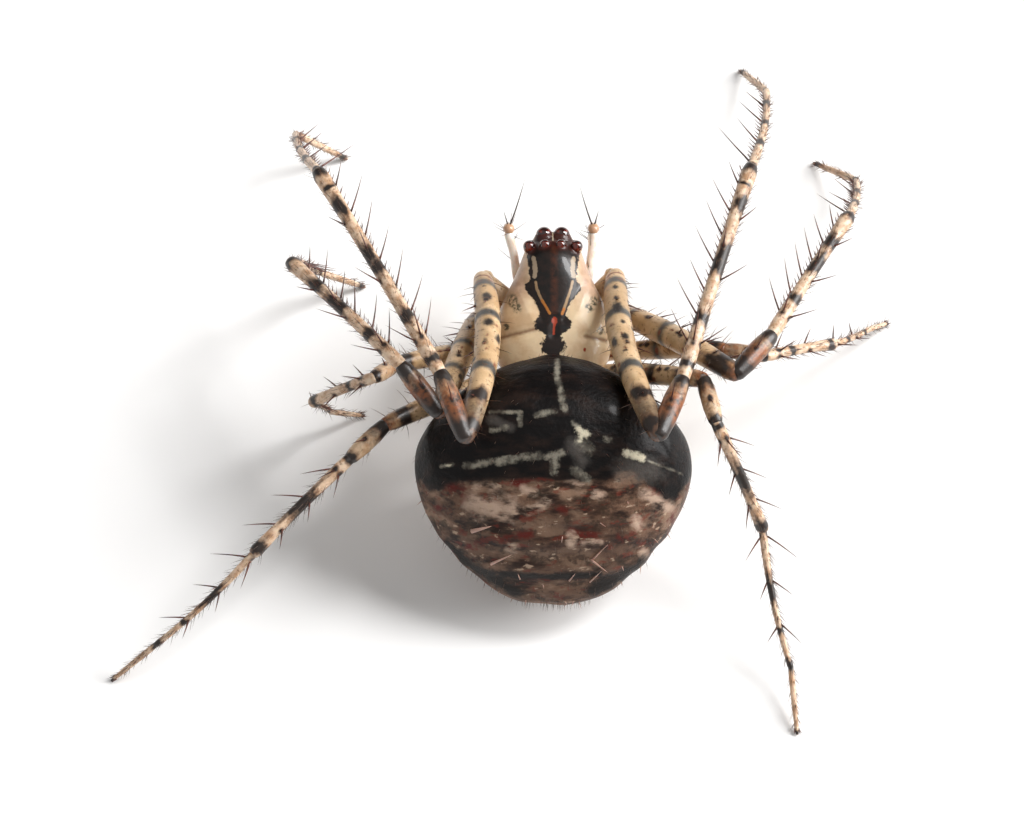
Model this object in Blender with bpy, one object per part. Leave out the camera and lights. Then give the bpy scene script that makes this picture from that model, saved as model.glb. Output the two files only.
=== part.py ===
# Pirate spider, Mimetus, adult female: a still, life-size museum model.
# The head faces -Y, the feet stand at z = 0. Sizes below are in millimetres.

import math
import random

import bmesh
import bpy
from mathutils import Matrix, Vector
from mathutils.bvhtree import BVHTree

MM = 0.001

# The body's frame: right is the spider's own right, ahead is towards its head.
BODY_CENTRE_RIGHT = -0.745
BODY_CENTRE_AHEAD = 0.928

FOOT_HEIGHT = 0.05      # centre of a foot tip above the floor
NODE_GAP = 0.024        # air left between two touching pieces
RING_SIDES = 28         # sides of the carapace and abdomen
LEG_SIDES = 10

# Lengths of femur, patella, tibia, metatarsus and tarsus of each pair of legs.
LEG_LENGTHS = {
    1: (3.84, 1.10, 4.05, 3.00, 1.20),
    2: (2.65, 0.90, 2.75, 2.20, 1.00),
    3: (1.80, 0.65, 1.45, 1.25, 0.75),
    4: (2.35, 0.75, 2.05, 2.15, 1.00),
}

# How stout each pair is beside the first.
LEG_STOUTNESS = {1: 1.0, 2: 0.96, 3: 0.78, 4: 0.82}

COXA_RADIUS = 0.175
FEMUR_RADIUS = 0.205
PATELLA_RADIUS = 0.160
TIBIA_RADIUS = 0.112
METATARSUS_RADIUS = 0.076
TARSUS_RADIUS = 0.060

# How far a leg piece bows out of a straight line, upwards and towards the rear,
# as shares of its length. The first femora bend in towards the body.
BOW = {"femur": (0.035, 0.0), "patella": (0.0, 0.0), "tibia": (0.02, 0.0), "metatarsus": (0.015, 0.03)}
FIRST_FEMUR_BOW = (0.045, 0.05)

# Where each leg leaves the body, and its hip at the femur's root.
COXA_ROOT = {1: (0.43, 1.58, 1.44), 2: (0.44, 1.26, 1.38), 3: (0.42, 0.97, 1.36), 4: (0.30, 0.60, 1.36)}

# The pose of each leg, side then pair. Every pair of angles is the turn from
# straight ahead towards the spider's right, and the rise above level.
LEG_POSE = {
    ("right", 1): {"hip": (0.97, 2.10, 1.90), "femur": (170, 24), "patella": (20, -10),
                   "tibia": (16, -7), "metatarsus": (8, -39), "tarsus": -24},
    ("left", 1): {"hip": (-1.09, 2.05, 1.90), "femur": (-176, 25), "patella": (-20, 4),
                  "tibia": (-28, -4), "metatarsus": (-13, -51), "tarsus": 86},
    ("right", 2): {"hip": (1.15, 1.50, 1.70), "femur": (135, 30), "patella": (38, -7),
                   "tibia": (28, -14), "metatarsus": (8, -48), "tarsus": -46},
    ("left", 2): {"hip": (-1.15, 1.45, 1.70), "femur": (-165, 30), "patella": (-43, 26),
                  "tibia": (-40, -13), "metatarsus": (25, -66), "tarsus": 80},
    ("right", 3): {"hip": (1.10, 1.00, 1.45), "femur": (104, 29), "patella": (98, -3),
                   "tibia": (61, -34), "metatarsus": (42, -44), "tarsus": 41},
    ("left", 3): {"hip": (-1.10, 1.00, 1.45), "femur": (-118, 34), "patella": (-142, 38),
                  "tibia": (-84, -49), "metatarsus": (33, -69), "tarsus": 68},
    ("right", 4): {"hip": (0.66, 0.58, 1.50), "femur": (116, 40), "patella": (166, 2),
                   "tibia": (145, -51), "metatarsus": (167, -27), "tarsus": 174},
    ("left", 4): {"hip": (-0.72, 0.54, 1.50), "femur": (-123, 21), "patella": (-134, -8),
                  "tibia": (-134, -11), "metatarsus": (-124, -32), "tarsus": -114},
}

# Spines of a leg: how many stand along the front side, behind and on top, their
# length, and the lean of a spine from the leg's own line.
SPINE_ROWS = {
    ("tibia", 1): (7, 3, 2, 0.60), ("metatarsus", 1): (4, 0, 0, 0.62),
    ("tibia", 2): (6, 3, 2, 0.56), ("metatarsus", 2): (4, 0, 0, 0.56),
    ("tibia", 3): (2, 2, 1, 0.36), ("metatarsus", 3): (2, 2, 0, 0.34),
    ("tibia", 4): (3, 3, 1, 0.46), ("metatarsus", 4): (3, 3, 0, 0.44),
    ("femur", 1): (3, 0, 3, 0.36), ("femur", 2): (3, 0, 3, 0.34),
    ("femur", 3): (1, 0, 2, 0.28), ("femur", 4): (2, 0, 2, 0.32),
    ("patella", 1): (0, 0, 1, 0.40), ("patella", 2): (0, 0, 1, 0.36),
    ("patella", 3): (0, 0, 1, 0.30), ("patella", 4): (0, 0, 1, 0.34),
}
# Where the first spine of a row stands, and how far the row reaches, as shares
# of the leg piece's length.
SPINE_SPREAD = {"femur": (0.24, 0.86), "patella": (0.53, 0.86), "tibia": (0.16, 0.86), "metatarsus": (0.06, 0.96)}
SPINE_LEAN = 50
SPINE_ROOT_RADIUS = 0.034
SPINE_TIP_RADIUS = 0.009
SPINE_SIDES = 4

# Rings of a rounded body piece: ahead, half width, height of the widest line,
# top, bottom.
CARAPACE_RINGS = [
    (0.10, 0.28, 1.79, 1.88, 1.70), (0.30, 0.60, 1.76, 2.02, 1.62), (0.65, 0.83, 1.76, 2.18, 1.57),
    (1.00, 0.90, 1.78, 2.30, 1.56), (1.28, 0.88, 1.82, 2.37, 1.58), (1.60, 0.78, 1.89, 2.45, 1.60),
    (1.90, 0.63, 1.97, 2.53, 1.66), (2.15, 0.52, 2.05, 2.56, 1.74), (2.36, 0.44, 2.11, 2.50, 1.84),
    (2.50, 0.35, 2.16, 2.41, 1.94), (2.59, 0.24, 2.22, 2.36, 2.06),
]
ABDOMEN_RINGS = [
    (-2.93, 0.36, 0.82, 0.92, 0.72), (-2.84, 0.74, 0.88, 1.18, 0.60), (-2.58, 1.18, 1.05, 1.70, 0.48),
    (-2.15, 1.67, 1.34, 2.34, 0.42), (-1.62, 2.01, 1.64, 2.84, 0.48), (-1.10, 2.12, 1.82, 3.12, 0.66),
    (-0.60, 1.92, 2.02, 3.22, 1.00), (-0.10, 1.36, 2.28, 3.10, 1.58), (0.20, 0.82, 2.46, 2.86, 2.14),
    (0.34, 0.34, 2.54, 2.70, 2.40),
]
STERNUM_RINGS = [
    (0.42, 0.12, 1.44, 1.49, 1.34), (0.65, 0.28, 1.44, 1.52, 1.25), (1.05, 0.34, 1.42, 1.52, 1.20),
    (1.40, 0.30, 1.42, 1.52, 1.22), (1.62, 0.20, 1.44, 1.52, 1.28),
]

# Eyes: side, ahead, up, radius, for the right-hand eye of each pair.
EYES = {
    "front_middle": (0.135, 2.57, 2.35, 0.121),
    "rear_middle": (0.120, 2.33, 2.49, 0.082),
    "front_side": (0.340, 2.46, 2.21, 0.085),
    "rear_side": (0.365, 2.34, 2.41, 0.095),
}

CREAM = (0.78, 0.66, 0.46, 1)
BROWN = (0.20, 0.10, 0.05, 1)


def place(right, ahead, up):
    """A point of the body's frame as a world position in metres."""
    return Vector((BODY_CENTRE_RIGHT - right, BODY_CENTRE_AHEAD - ahead, up)) * MM


def heading(turn, rise):
    """The world direction of a turn and a rise in degrees."""
    t = math.radians(turn)
    r = math.radians(rise)
    return Vector((-math.sin(t) * math.cos(r), -math.cos(t) * math.cos(r), math.sin(r)))


def clear_scene():
    for thing in list(bpy.data.objects):
        bpy.data.objects.remove(thing, do_unlink=True)


def new_collection(name):
    group = bpy.data.collections.new(name)
    bpy.context.scene.collection.children.link(group)
    return group


def material(name, colour, roughness, metallic=0.0):
    finish = bpy.data.materials.get(name) or bpy.data.materials.new(name)
    finish.use_nodes = True
    shader = finish.node_tree.nodes["Principled BSDF"]
    shader.inputs["Base Color"].default_value = colour
    shader.inputs["Roughness"].default_value = roughness
    shader.inputs["Metallic"].default_value = metallic
    return finish


def mesh_object(name, shape, group, finish=None):
    """An object that holds a finished bmesh, with rounded shading."""
    bmesh.ops.recalc_face_normals(shape, faces=shape.faces)
    if shape.calc_volume(signed=True) < 0:
        bmesh.ops.reverse_faces(shape, faces=shape.faces)
    mesh = bpy.data.meshes.new(name)
    shape.to_mesh(mesh)
    shape.free()
    mesh.polygons.foreach_set("use_smooth", [True] * len(mesh.polygons))
    thing = bpy.data.objects.new(name, mesh)
    if finish:
        mesh.materials.append(finish)
    group.objects.link(thing)
    return thing


def smooth_rings(rings, steps):
    """Rings between the named ones, on a smooth curve through them."""
    fine = []
    last = len(rings) - 1
    for i in range(last):
        before, start, end, after = rings[max(i - 1, 0)], rings[i], rings[i + 1], rings[min(i + 2, last)]
        for k in range(steps):
            t = k / steps
            fine.append(tuple(
                0.5 * (2 * b + (c - a) * t + (2 * a - 5 * b + 4 * c - d) * t * t
                       + (3 * b - a - 3 * c + d) * t ** 3)
                for a, b, c, d in zip(before, start, end, after)))
    fine.append(rings[last])
    return fine


def ring_body(name, rings, steps, group, finish):
    """A closed loft through upright rings, from the rear to the front."""
    shape = bmesh.new()
    loops = []
    for ahead, half, middle, top, bottom in smooth_rings(rings, steps):
        loop = []
        for k in range(RING_SIDES):
            angle = 2 * math.pi * k / RING_SIDES
            reach = (top - middle) if math.sin(angle) > 0 else (middle - bottom)
            loop.append(shape.verts.new(place(half * math.cos(angle), ahead, middle + reach * math.sin(angle))))
        loops.append(loop)
    for one, two in zip(loops, loops[1:]):
        for k in range(RING_SIDES):
            n = (k + 1) % RING_SIDES
            shape.faces.new((one[k], one[n], two[n], two[k]))
    shape.faces.new(loops[0])
    shape.faces.new(loops[-1])
    return mesh_object(name, shape, group, finish)


def tube(name, stops, group, finish, sides=LEG_SIDES):
    """A closed tube through (point, radius) stops, its ends drawn in."""
    curve = bpy.data.curves.new(name, "CURVE")
    curve.dimensions = "3D"
    curve.bevel_depth = MM
    curve.bevel_resolution = (sides - 4) // 2
    curve.use_fill_caps = True
    line = curve.splines.new("POLY")
    line.points.add(len(stops) - 1)
    for point, (where, radius) in zip(line.points, stops):
        point.co = (*where, 1)
        point.radius = radius
    rope = bpy.data.objects.new(name + "_line", curve)
    group.objects.link(rope)
    depsgraph = bpy.context.evaluated_depsgraph_get()
    mesh = bpy.data.meshes.new_from_object(rope.evaluated_get(depsgraph))
    shape = bmesh.new()
    shape.from_mesh(mesh)
    bpy.data.meshes.remove(mesh)
    bpy.data.objects.remove(rope, do_unlink=True)
    bmesh.ops.remove_doubles(shape, verts=shape.verts, dist=1e-7)
    return mesh_object(name, shape, group, finish)


def ball(name, centre, radius, group, finish, sides=14):
    shape = bmesh.new()
    bmesh.ops.create_uvsphere(shape, u_segments=sides, v_segments=sides // 2, radius=radius * MM)
    bmesh.ops.translate(shape, verts=shape.verts, vec=centre)
    return mesh_object(name, shape, group, finish)


def cone(name, root, along, length, root_radius, tip_radius, sides, group):
    """A closed, tapered spine from its root."""
    shape = bmesh.new()
    bmesh.ops.create_cone(shape, cap_ends=True, cap_tris=True, segments=sides, radius1=root_radius * MM,
                          radius2=tip_radius * MM, depth=length * MM)
    turn = along.to_track_quat("Z", "Y").to_matrix().to_4x4()
    middle = root + along * (length * MM / 2)
    bmesh.ops.transform(shape, matrix=Matrix.Translation(middle) @ turn, verts=shape.verts)
    return mesh_object(name, shape, group)


def keep_largest(thing):
    """Only the largest closed surface of a node stays."""
    shape = bmesh.new()
    shape.from_mesh(thing.data)
    left = set(shape.verts)
    islands = []
    while left:
        island = {left.pop()}
        edge = list(island)
        while edge:
            vertex = edge.pop()
            for link in vertex.link_edges:
                other = link.other_vert(vertex)
                if other in left:
                    left.discard(other)
                    island.add(other)
                    edge.append(other)
        islands.append(island)
    islands.sort(key=lambda island: sum((max(v.co[i] for v in island) - min(v.co[i] for v in island)) ** 2
                                        for i in range(3)))
    loose = [vertex for island in islands[:-1] for vertex in island]
    bmesh.ops.delete(shape, geom=loose, context="VERTS")
    shape.to_mesh(thing.data)
    shape.free()


def apply_boolean(thing, operation, solver="EXACT", group=None, cutter=None):
    bpy.context.view_layer.update()
    modifier = thing.modifiers.new("join", "BOOLEAN")
    modifier.operation = operation
    modifier.solver = solver
    if group:
        modifier.operand_type = "COLLECTION"
        modifier.collection = group
    else:
        modifier.object = cutter
    with bpy.context.temp_override(object=thing, active_object=thing):
        bpy.ops.object.modifier_apply(modifier=modifier.name)


def fuse(thing, pieces):
    """Joins the pieces of a collection to a node, then clears them away."""
    if pieces.objects:
        apply_boolean(thing, "UNION", group=pieces)
        keep_largest(thing)
    for piece in list(pieces.objects):
        bpy.data.objects.remove(piece, do_unlink=True)
    bpy.data.collections.remove(pieces)
    thing.data.polygons.foreach_set("use_smooth", [True] * len(thing.data.polygons))


def surface_tree(thing):
    return BVHTree.FromPolygons([v.co for v in thing.data.vertices], [p.vertices for p in thing.data.polygons])


def trim_crossings(group, trees):
    """Cuts a piece clear of each earlier piece that it would cross."""
    nodes = list(group.objects)
    for i, node in enumerate(nodes):
        for earlier in nodes[:i]:
            if trees[node.name].overlap(trees[earlier.name]):
                swollen = earlier.copy()
                swollen.data = earlier.data.copy()
                group.objects.link(swollen)
                for vertex in swollen.data.vertices:
                    vertex.co += vertex.normal * NODE_GAP * MM
                apply_boolean(node, "DIFFERENCE", cutter=swollen)
                bpy.data.objects.remove(swollen, do_unlink=True)
                keep_largest(node)
                trees[node.name] = surface_tree(node)


def rounded_stops(start, end, first, middle, last, bow=Vector((0, 0, 0))):
    """Stops of one leg piece: drawn in at both ends, fullest in its stretch."""
    line = end - start
    length = line.length / MM
    stops = []
    for run, radius in ((0, 0.5 * first), (0.3 * first, 0.86 * first), (0.9 * first, first),
                        (0.35 * length, middle), (0.65 * length, 0.5 * (middle + last)),
                        (length - 0.9 * last, last), (length - 0.3 * last, 0.86 * last), (length, 0.5 * last)):
        t = run / length
        stops.append((start + line * t + bow * math.sin(math.pi * t), radius))
    return stops


def leg_frame(start, end, side):
    """A leg piece's own directions: along it, level to its front side, and up."""
    along = (end - start).normalized()
    across = Vector((0, 0, 1)).cross(along).normalized()
    if side == "left":
        across = -across
    up = along.cross(across).normalized()
    return along, across, up if up.z >= 0 else -up


def piece_bow(start, end, side, part, pair):
    up_share, rear_share = FIRST_FEMUR_BOW if (part, pair) == ("femur", 1) else BOW[part]
    _, across, up = leg_frame(start, end, side)
    return (up * up_share - across * rear_share) * (end - start).length


def add_spines(start, end, first, last, side, part, pair, pieces, trees, owner):
    """Spines on one leg piece, shorter or left out where they would cross another."""
    front, behind, top, size = SPINE_ROWS[part, pair]
    along, across, up = leg_frame(start, end, side)
    bow = piece_bow(start, end, side, part, pair)
    first_share, reach = SPINE_SPREAD[part]
    places = [(across * 0.94 + up * 0.34, front, 1.0), (-across * 0.94 + up * 0.34, behind, 0.78),
              (up, top, 0.8)]
    for outward, count, share in places:
        outward = outward.normalized()
        for k in range(count):
            t = first_share + reach * k / count
            radius = first + (last - first) * t
            lean = math.radians(SPINE_LEAN + random.uniform(-6, 6))
            spike = (along * math.cos(lean) + outward * math.sin(lean)).normalized()
            length = size * share * random.uniform(0.85, 1.12)
            root = start.lerp(end, t) + bow * math.sin(math.pi * t) + outward * (radius * 0.45 * MM)
            for share_left in (1.0, 0.75, 0.5):
                spine = cone("spine", root, spike, length * share_left, SPINE_ROOT_RADIUS, SPINE_TIP_RADIUS,
                             SPINE_SIDES, pieces)
                shape = surface_tree(spine)
                if not any(shape.overlap(tree) for name, tree in trees.items() if name != owner):
                    break
                bpy.data.objects.remove(spine, do_unlink=True)


def leg_line(side, pair):
    """The joint centres of a leg, from the coxa's root to the foot's tip."""
    pose = LEG_POSE[side, pair]
    joints = [place(*pose["hip"])]
    for part, length in zip(("femur", "patella", "tibia", "metatarsus"), LEG_LENGTHS[pair]):
        joints.append(joints[-1] + heading(*pose[part]) * length * MM)
    tarsus_length = LEG_LENGTHS[pair][4]
    drop = math.degrees(math.asin((FOOT_HEIGHT - joints[4].z / MM) / tarsus_length))
    joints.append(joints[4] + heading(pose["tarsus"], drop) * tarsus_length * MM)
    sign = 1 if side == "right" else -1
    root_side, root_ahead, root_up = COXA_ROOT[pair]
    return [place(sign * root_side, root_ahead, root_up)] + joints


def leg_tubes(side, pair, group):
    """The five bare pieces of one leg, drawn in at every joint."""
    stout = LEG_STOUTNESS[pair]
    finish = material("leg_cuticle", CREAM, 0.45)
    name = "leg_%d_%s_" % (pair, side)
    line = leg_line(side, pair)
    ways = [(b - a).normalized() for a, b in zip(line, line[1:])]
    back = NODE_GAP / 2 * MM
    coxa = COXA_RADIUS * stout
    femur = FEMUR_RADIUS * stout
    patella = PATELLA_RADIUS * stout
    tibia = TIBIA_RADIUS * stout
    metatarsus = METATARSUS_RADIUS * stout
    tarsus = TARSUS_RADIUS * stout

    stops = rounded_stops(line[0], line[1] - ways[0] * back, coxa, coxa, 0.9 * coxa)
    tube(name + "coxa", stops, group, finish)
    stops = rounded_stops(line[1] + ways[1] * back, line[2] - ways[1] * back, 0.8 * femur, femur, 0.8 * femur,
                          piece_bow(line[1], line[2], side, "femur", pair))
    tube(name + "femur", stops, group, finish)
    knee = line[3]
    stops = rounded_stops(line[2] + ways[2] * back, knee, 0.9 * patella, patella, 0.86 * patella)[:-1]
    stops += [(knee, 0.72 * patella)]
    stops += rounded_stops(knee, line[4] - ways[3] * back, 1.05 * tibia, 0.92 * tibia, 1.1 * tibia,
                           piece_bow(knee, line[4], side, "tibia", pair))[2:]
    tube(name + "tibia", stops, group, finish)
    stops = rounded_stops(line[4] + ways[4] * back, line[5] - ways[4] * back,
                          metatarsus, 0.95 * metatarsus, 0.75 * metatarsus,
                          piece_bow(line[4], line[5], side, "metatarsus", pair))
    tube(name + "metatarsus", stops, group, finish)
    stops = rounded_stops(line[5] + ways[5] * back, line[6], tarsus, 0.9 * tarsus, 0.7 * tarsus)
    node = tube(name + "tarsus", stops, group, finish)
    pieces = new_collection("foot")
    sole = Vector((line[6].x, line[6].y, 0))
    cone("foot", sole, Vector((0, 0, 1)), 0.10, 0.085, 0.05, 10, pieces)
    fuse(node, pieces)


def leg_spines(side, pair, group, trees):
    """The spines of one leg, on its femur, patella, tibia and metatarsus."""
    stout = LEG_STOUTNESS[pair]
    line = leg_line(side, pair)
    name = "leg_%d_%s_" % (pair, side)
    stretches = [
        ("femur", "femur", 1, 2, 0.9 * FEMUR_RADIUS, 0.8 * FEMUR_RADIUS),
        ("tibia", "patella", 2, 3, PATELLA_RADIUS, PATELLA_RADIUS),
        ("tibia", "tibia", 3, 4, TIBIA_RADIUS, TIBIA_RADIUS),
        ("metatarsus", "metatarsus", 4, 5, METATARSUS_RADIUS, 0.75 * METATARSUS_RADIUS),
    ]
    for node_name in ("femur", "tibia", "metatarsus"):
        node = group.objects[name + node_name]
        pieces = new_collection("spines")
        for owner, part, start, end, first, last in stretches:
            if owner == node_name:
                add_spines(line[start], line[end], first * stout, last * stout, side, part, pair,
                           pieces, trees, node.name)
        fuse(node, pieces)
        trees[node.name] = surface_tree(node)


def carapace_and_eyes(group, cutters):
    shell = ring_body("carapace", CARAPACE_RINGS, 2, group, material("carapace_cuticle", BROWN, 0.35))
    finish = material("eye_lens", (0.09, 0.015, 0.01, 1), 0.08)
    for name, (side, ahead, up, radius) in EYES.items():
        for word, sign in (("right", 1), ("left", -1)):
            centre = place(sign * side, ahead, up)
            ball("eye_%s_%s" % (name, word), centre, radius, group, finish)
            socket = ball("socket_" + name, centre, radius + NODE_GAP / 2, cutters, None)
            socket.display_type = "WIRE"
    apply_boolean(shell, "DIFFERENCE", group=cutters)
    keep_largest(shell)
    for cutter in list(cutters.objects):
        bpy.data.objects.remove(cutter, do_unlink=True)
    shell.data.polygons.foreach_set("use_smooth", [True] * len(shell.data.polygons))


def mouth(group):
    """The lip with the two blades beside it, and the jaws in front."""
    finish = material("mouth_cuticle", CREAM, 0.4)
    node = ball("mouthparts", place(0, 1.78, 1.40), 0.12, group, finish)
    pieces = new_collection("blades")
    for sign in (-1, 1):
        line = place(sign * 0.10, 1.76, 1.41), place(sign * 0.16, 2.04, 1.40)
        tube("blade", rounded_stops(line[0], line[1], 0.10, 0.12, 0.09), pieces, None)
    fuse(node, pieces)
    for word, sign in (("right", 1), ("left", -1)):
        top = place(sign * 0.19, 2.27, 1.70)
        tip = place(sign * 0.23, 2.42, 1.08)
        jaw = tube("chelicera_" + word, rounded_stops(top, tip, 0.165, 0.155, 0.10), group, finish)
        pieces = new_collection("fang")
        fang = (place(sign * 0.05, 2.30, 0.98) - tip).normalized()
        cone("fang", tip - fang * 0.04 * MM, fang, 0.24, 0.05, 0.012, 6, pieces)
        fuse(jaw, pieces)


def palps(group):
    finish = material("palp_cuticle", CREAM, 0.4)
    for word, sign, knee_side in (("right", 1, 0.63), ("left", -1, 0.68)):
        root = place(sign * 0.32, 1.96, 1.46)
        rise = place(sign * 0.56, 2.14, 1.74)
        knee = place(sign * knee_side, 2.76, 2.06)
        wrist = place(sign * 0.60, 3.04, 1.62)
        tip = place(sign * 0.50, 3.14, 1.10)
        way = (knee - rise).normalized()
        stops = [(root, 0.05), (root.lerp(rise, 0.3), 0.075), (rise, 0.075), (rise.lerp(knee, 0.5), 0.07),
                 (knee - way * 0.06 * MM, 0.072), (knee - way * 0.02 * MM, 0.04)]
        tube("palp_femur_" + word, stops, group, finish)
        way = (wrist - knee).normalized()
        stops = [(knee + way * 0.02 * MM, 0.045), (knee + way * 0.07 * MM, 0.08), (knee.lerp(wrist, 0.5), 0.07),
                 (wrist, 0.068), (wrist.lerp(tip, 0.5), 0.066), (wrist.lerp(tip, 0.9), 0.045), (tip, 0.02)]
        node = tube("palp_tip_" + word, stops, group, finish)
        pieces = new_collection("bristles")
        for spread, length in ((-25, 0.64), (18, 0.28)):
            cone("bristle", knee + way * 0.06 * MM, heading(sign * spread, 32), length, 0.03, 0.008, 4, pieces)
        fuse(node, pieces)


def abdomen(group):
    finish = material("abdomen_skin", (0.30, 0.22, 0.18, 1), 0.6)
    node = ring_body("abdomen", ABDOMEN_RINGS, 2, group, finish)
    pieces = new_collection("bristles")
    for k in range(30):
        turn = k * 2.399963
        spread = math.sqrt((k + 0.5) / 30)
        right = 1.75 * spread * math.cos(turn)
        ahead = -1.35 + 1.15 * spread * math.sin(turn)
        down = place(right, ahead, 6.0)
        hit, root, normal, _ = node.ray_cast(down, Vector((0, 0, -1)))
        if hit:
            spike = (normal + Vector((0, 0.9, 0.2))).normalized()
            cone("bristle", root - spike * 0.06 * MM, spike, 0.30, 0.034, 0.012, 4, pieces)
    fuse(node, pieces)

    waist = material("waist_cuticle", CREAM, 0.45)
    stops = [(place(0, 0.08, 1.79), 0.08), (place(0, 0.02, 1.79), 0.12), (place(0, -0.08, 1.80), 0.12),
             (place(0, -0.16, 1.81), 0.10)]
    tube("pedicel", stops, group, waist)
    collar = place(0, -2.28, 0.30)
    node = ball("spinnerets", collar, 0.10, group, waist)
    pieces = new_collection("cones")
    for right, ahead in ((0.10, 0.08), (-0.10, 0.08), (0.06, -0.02), (-0.06, -0.02), (0.11, -0.12), (-0.11, -0.12)):
        lean = Vector((-right, -ahead, -0.30)).normalized()
        cone("cone", collar + Vector((-right, -ahead, 0.4)) * 0.4 * MM, lean, 0.22, 0.062, 0.03, 8, pieces)
    fuse(node, pieces)


def build():
    random.seed(7)
    clear_scene()
    group = new_collection("pirate_spider")
    cutters = new_collection("cutters")
    cutters.hide_render = True
    carapace_and_eyes(group, cutters)
    ring_body("sternum", STERNUM_RINGS, 2, group, material("sternum_cuticle", CREAM, 0.45))
    mouth(group)
    palps(group)
    abdomen(group)
    for side, pair in LEG_POSE:
        leg_tubes(side, pair, group)
    trees = {node.name: surface_tree(node) for node in group.objects}
    trim_crossings(group, trees)
    for side, pair in LEG_POSE:
        leg_spines(side, pair, group, trees)


build()
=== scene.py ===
import math

import bpy
import numpy as np
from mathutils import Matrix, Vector


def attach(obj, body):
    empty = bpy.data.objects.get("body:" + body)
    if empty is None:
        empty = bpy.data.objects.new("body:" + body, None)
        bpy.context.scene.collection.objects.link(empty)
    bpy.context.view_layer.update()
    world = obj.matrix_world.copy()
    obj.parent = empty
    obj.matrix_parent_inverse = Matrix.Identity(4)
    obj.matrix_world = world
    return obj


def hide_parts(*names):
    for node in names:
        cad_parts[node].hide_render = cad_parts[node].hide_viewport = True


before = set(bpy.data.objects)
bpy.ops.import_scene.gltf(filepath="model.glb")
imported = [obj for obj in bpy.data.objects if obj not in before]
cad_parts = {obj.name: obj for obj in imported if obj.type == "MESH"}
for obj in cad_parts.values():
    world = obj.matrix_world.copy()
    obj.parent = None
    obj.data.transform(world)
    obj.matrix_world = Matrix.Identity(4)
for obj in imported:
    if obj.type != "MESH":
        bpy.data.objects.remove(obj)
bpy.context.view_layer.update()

# Pirate spider, adult female, life size. Sizes are in millimetres in the
# spider's own frame (right, ahead, up) and turned to metres when a mesh is made.
mm = 0.001
bodyCentre = {"right": -0.745, "ahead": 0.928}
photoTilt = math.radians(65)        # how steeply the camera looks down
aimHeight = 1.5                     # height of the point that it looks at
rng = np.random.default_rng(11)
fullTurn = 2 * math.pi
sideSigns = {"right": 1, "left": -1}


def toWorld(points):
    p = np.asarray(points, float)
    out = np.empty_like(p)
    out[..., 0] = bodyCentre["right"] - p[..., 0]
    out[..., 1] = bodyCentre["ahead"] - p[..., 1]
    out[..., 2] = p[..., 2]
    return out * mm


def heading(turn, rise):
    # turn is from straight ahead to the right, in degrees
    t, r = math.radians(turn), math.radians(rise)
    return np.array([math.sin(t) * math.cos(r), math.cos(t) * math.cos(r), math.sin(r)])


def unit(v):
    v = np.asarray(v, float)
    return v / np.maximum(np.linalg.norm(v, axis=-1, keepdims=True), 1e-9)


def fromHex(text):
    parts = [int(text[i:i + 2], 16) / 255 for i in (1, 3, 5)]
    return [c / 12.92 if c <= 0.04045 else ((c + 0.055) / 1.055) ** 2.4 for c in parts] + [1.0]


# Camera, floor and light

stage = {
    "target": (-0.63, 0.0, aimHeight), "distance": 110.0, "lens": 251.4, "sensor": 36,
    "clip": (0.005, 5), "floorSize": 0.6, "paper": "#faf9f8", "paperRoughness": 0.9,
    "room": "#fbfaf8", "roomStrength": 0.11,
    # turn, rise, strength and width in degrees: a broad low window for the long soft
    # shadow, a small lamp for the points of light on the eyes, a fill by the camera
    "lights": {"window": (80, 25, 3.9, 40), "lamp": (66, 51, 1.8, 18), "fill": (-122, 58, 0.85, 110)},
}


def buildStage():
    scene = bpy.context.scene
    back = Vector((0, math.cos(photoTilt), math.sin(photoTilt)))
    data = bpy.data.cameras.new("camera")
    data.lens = stage["lens"]
    data.sensor_width = stage["sensor"]
    data.clip_start, data.clip_end = stage["clip"]
    camera = bpy.data.objects.new("camera", data)
    camera.location = Vector(toWorld(stage["target"])) + back * stage["distance"] * mm
    camera.rotation_euler = back.to_track_quat("Z", "Y").to_euler()
    scene.collection.objects.link(camera)
    scene.camera = camera

    bpy.ops.mesh.primitive_plane_add(size=stage["floorSize"])
    floor = bpy.context.object
    floor.name = "floor"
    paper = bpy.data.materials.new("whitePaper")
    paper.use_nodes = True
    shader = paper.node_tree.nodes["Principled BSDF"]
    shader.inputs["Base Color"].default_value = fromHex(stage["paper"])
    shader.inputs["Roughness"].default_value = stage["paperRoughness"]
    floor.data.materials.append(paper)

    for name, (turn, rise, strength, width) in stage["lights"].items():
        lamp = bpy.data.lights.new(name, "SUN")
        lamp.energy = strength
        lamp.angle = math.radians(width)
        holder = bpy.data.objects.new(name, lamp)
        right, ahead, up = heading(turn, rise)
        holder.rotation_euler = Vector((-right, -ahead, up)).to_track_quat("Z", "Y").to_euler()
        scene.collection.objects.link(holder)
    room = bpy.data.worlds.new("softRoom")
    room.use_nodes = True
    glow = room.node_tree.nodes["Background"]
    glow.inputs["Color"].default_value = fromHex(stage["room"])
    glow.inputs["Strength"].default_value = stage["roomStrength"]
    scene.world = room
    scene.view_settings.view_transform = "Standard"
    print("stage ready")


# Materials. A recipe has the shader's values; its patterns, each with the real size
# of its grain in mm, detail, roughness and sometimes a stretch; its colour; and its
# relief, as strength, depth in mm and the weight of each pattern. A colour is a hex
# value, or a list of the colour underneath and then the coats over it. A coat is a
# colour and the factors of the share that it covers: a number; a pattern or painted
# mark by name; (pattern, low, high, least) for a pattern read between two levels; or
# (mark, pattern, amount, softness, edge) for a painted mark that the pattern breaks up.
smooth = {"interpolation_type": "SMOOTHSTEP"}


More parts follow.
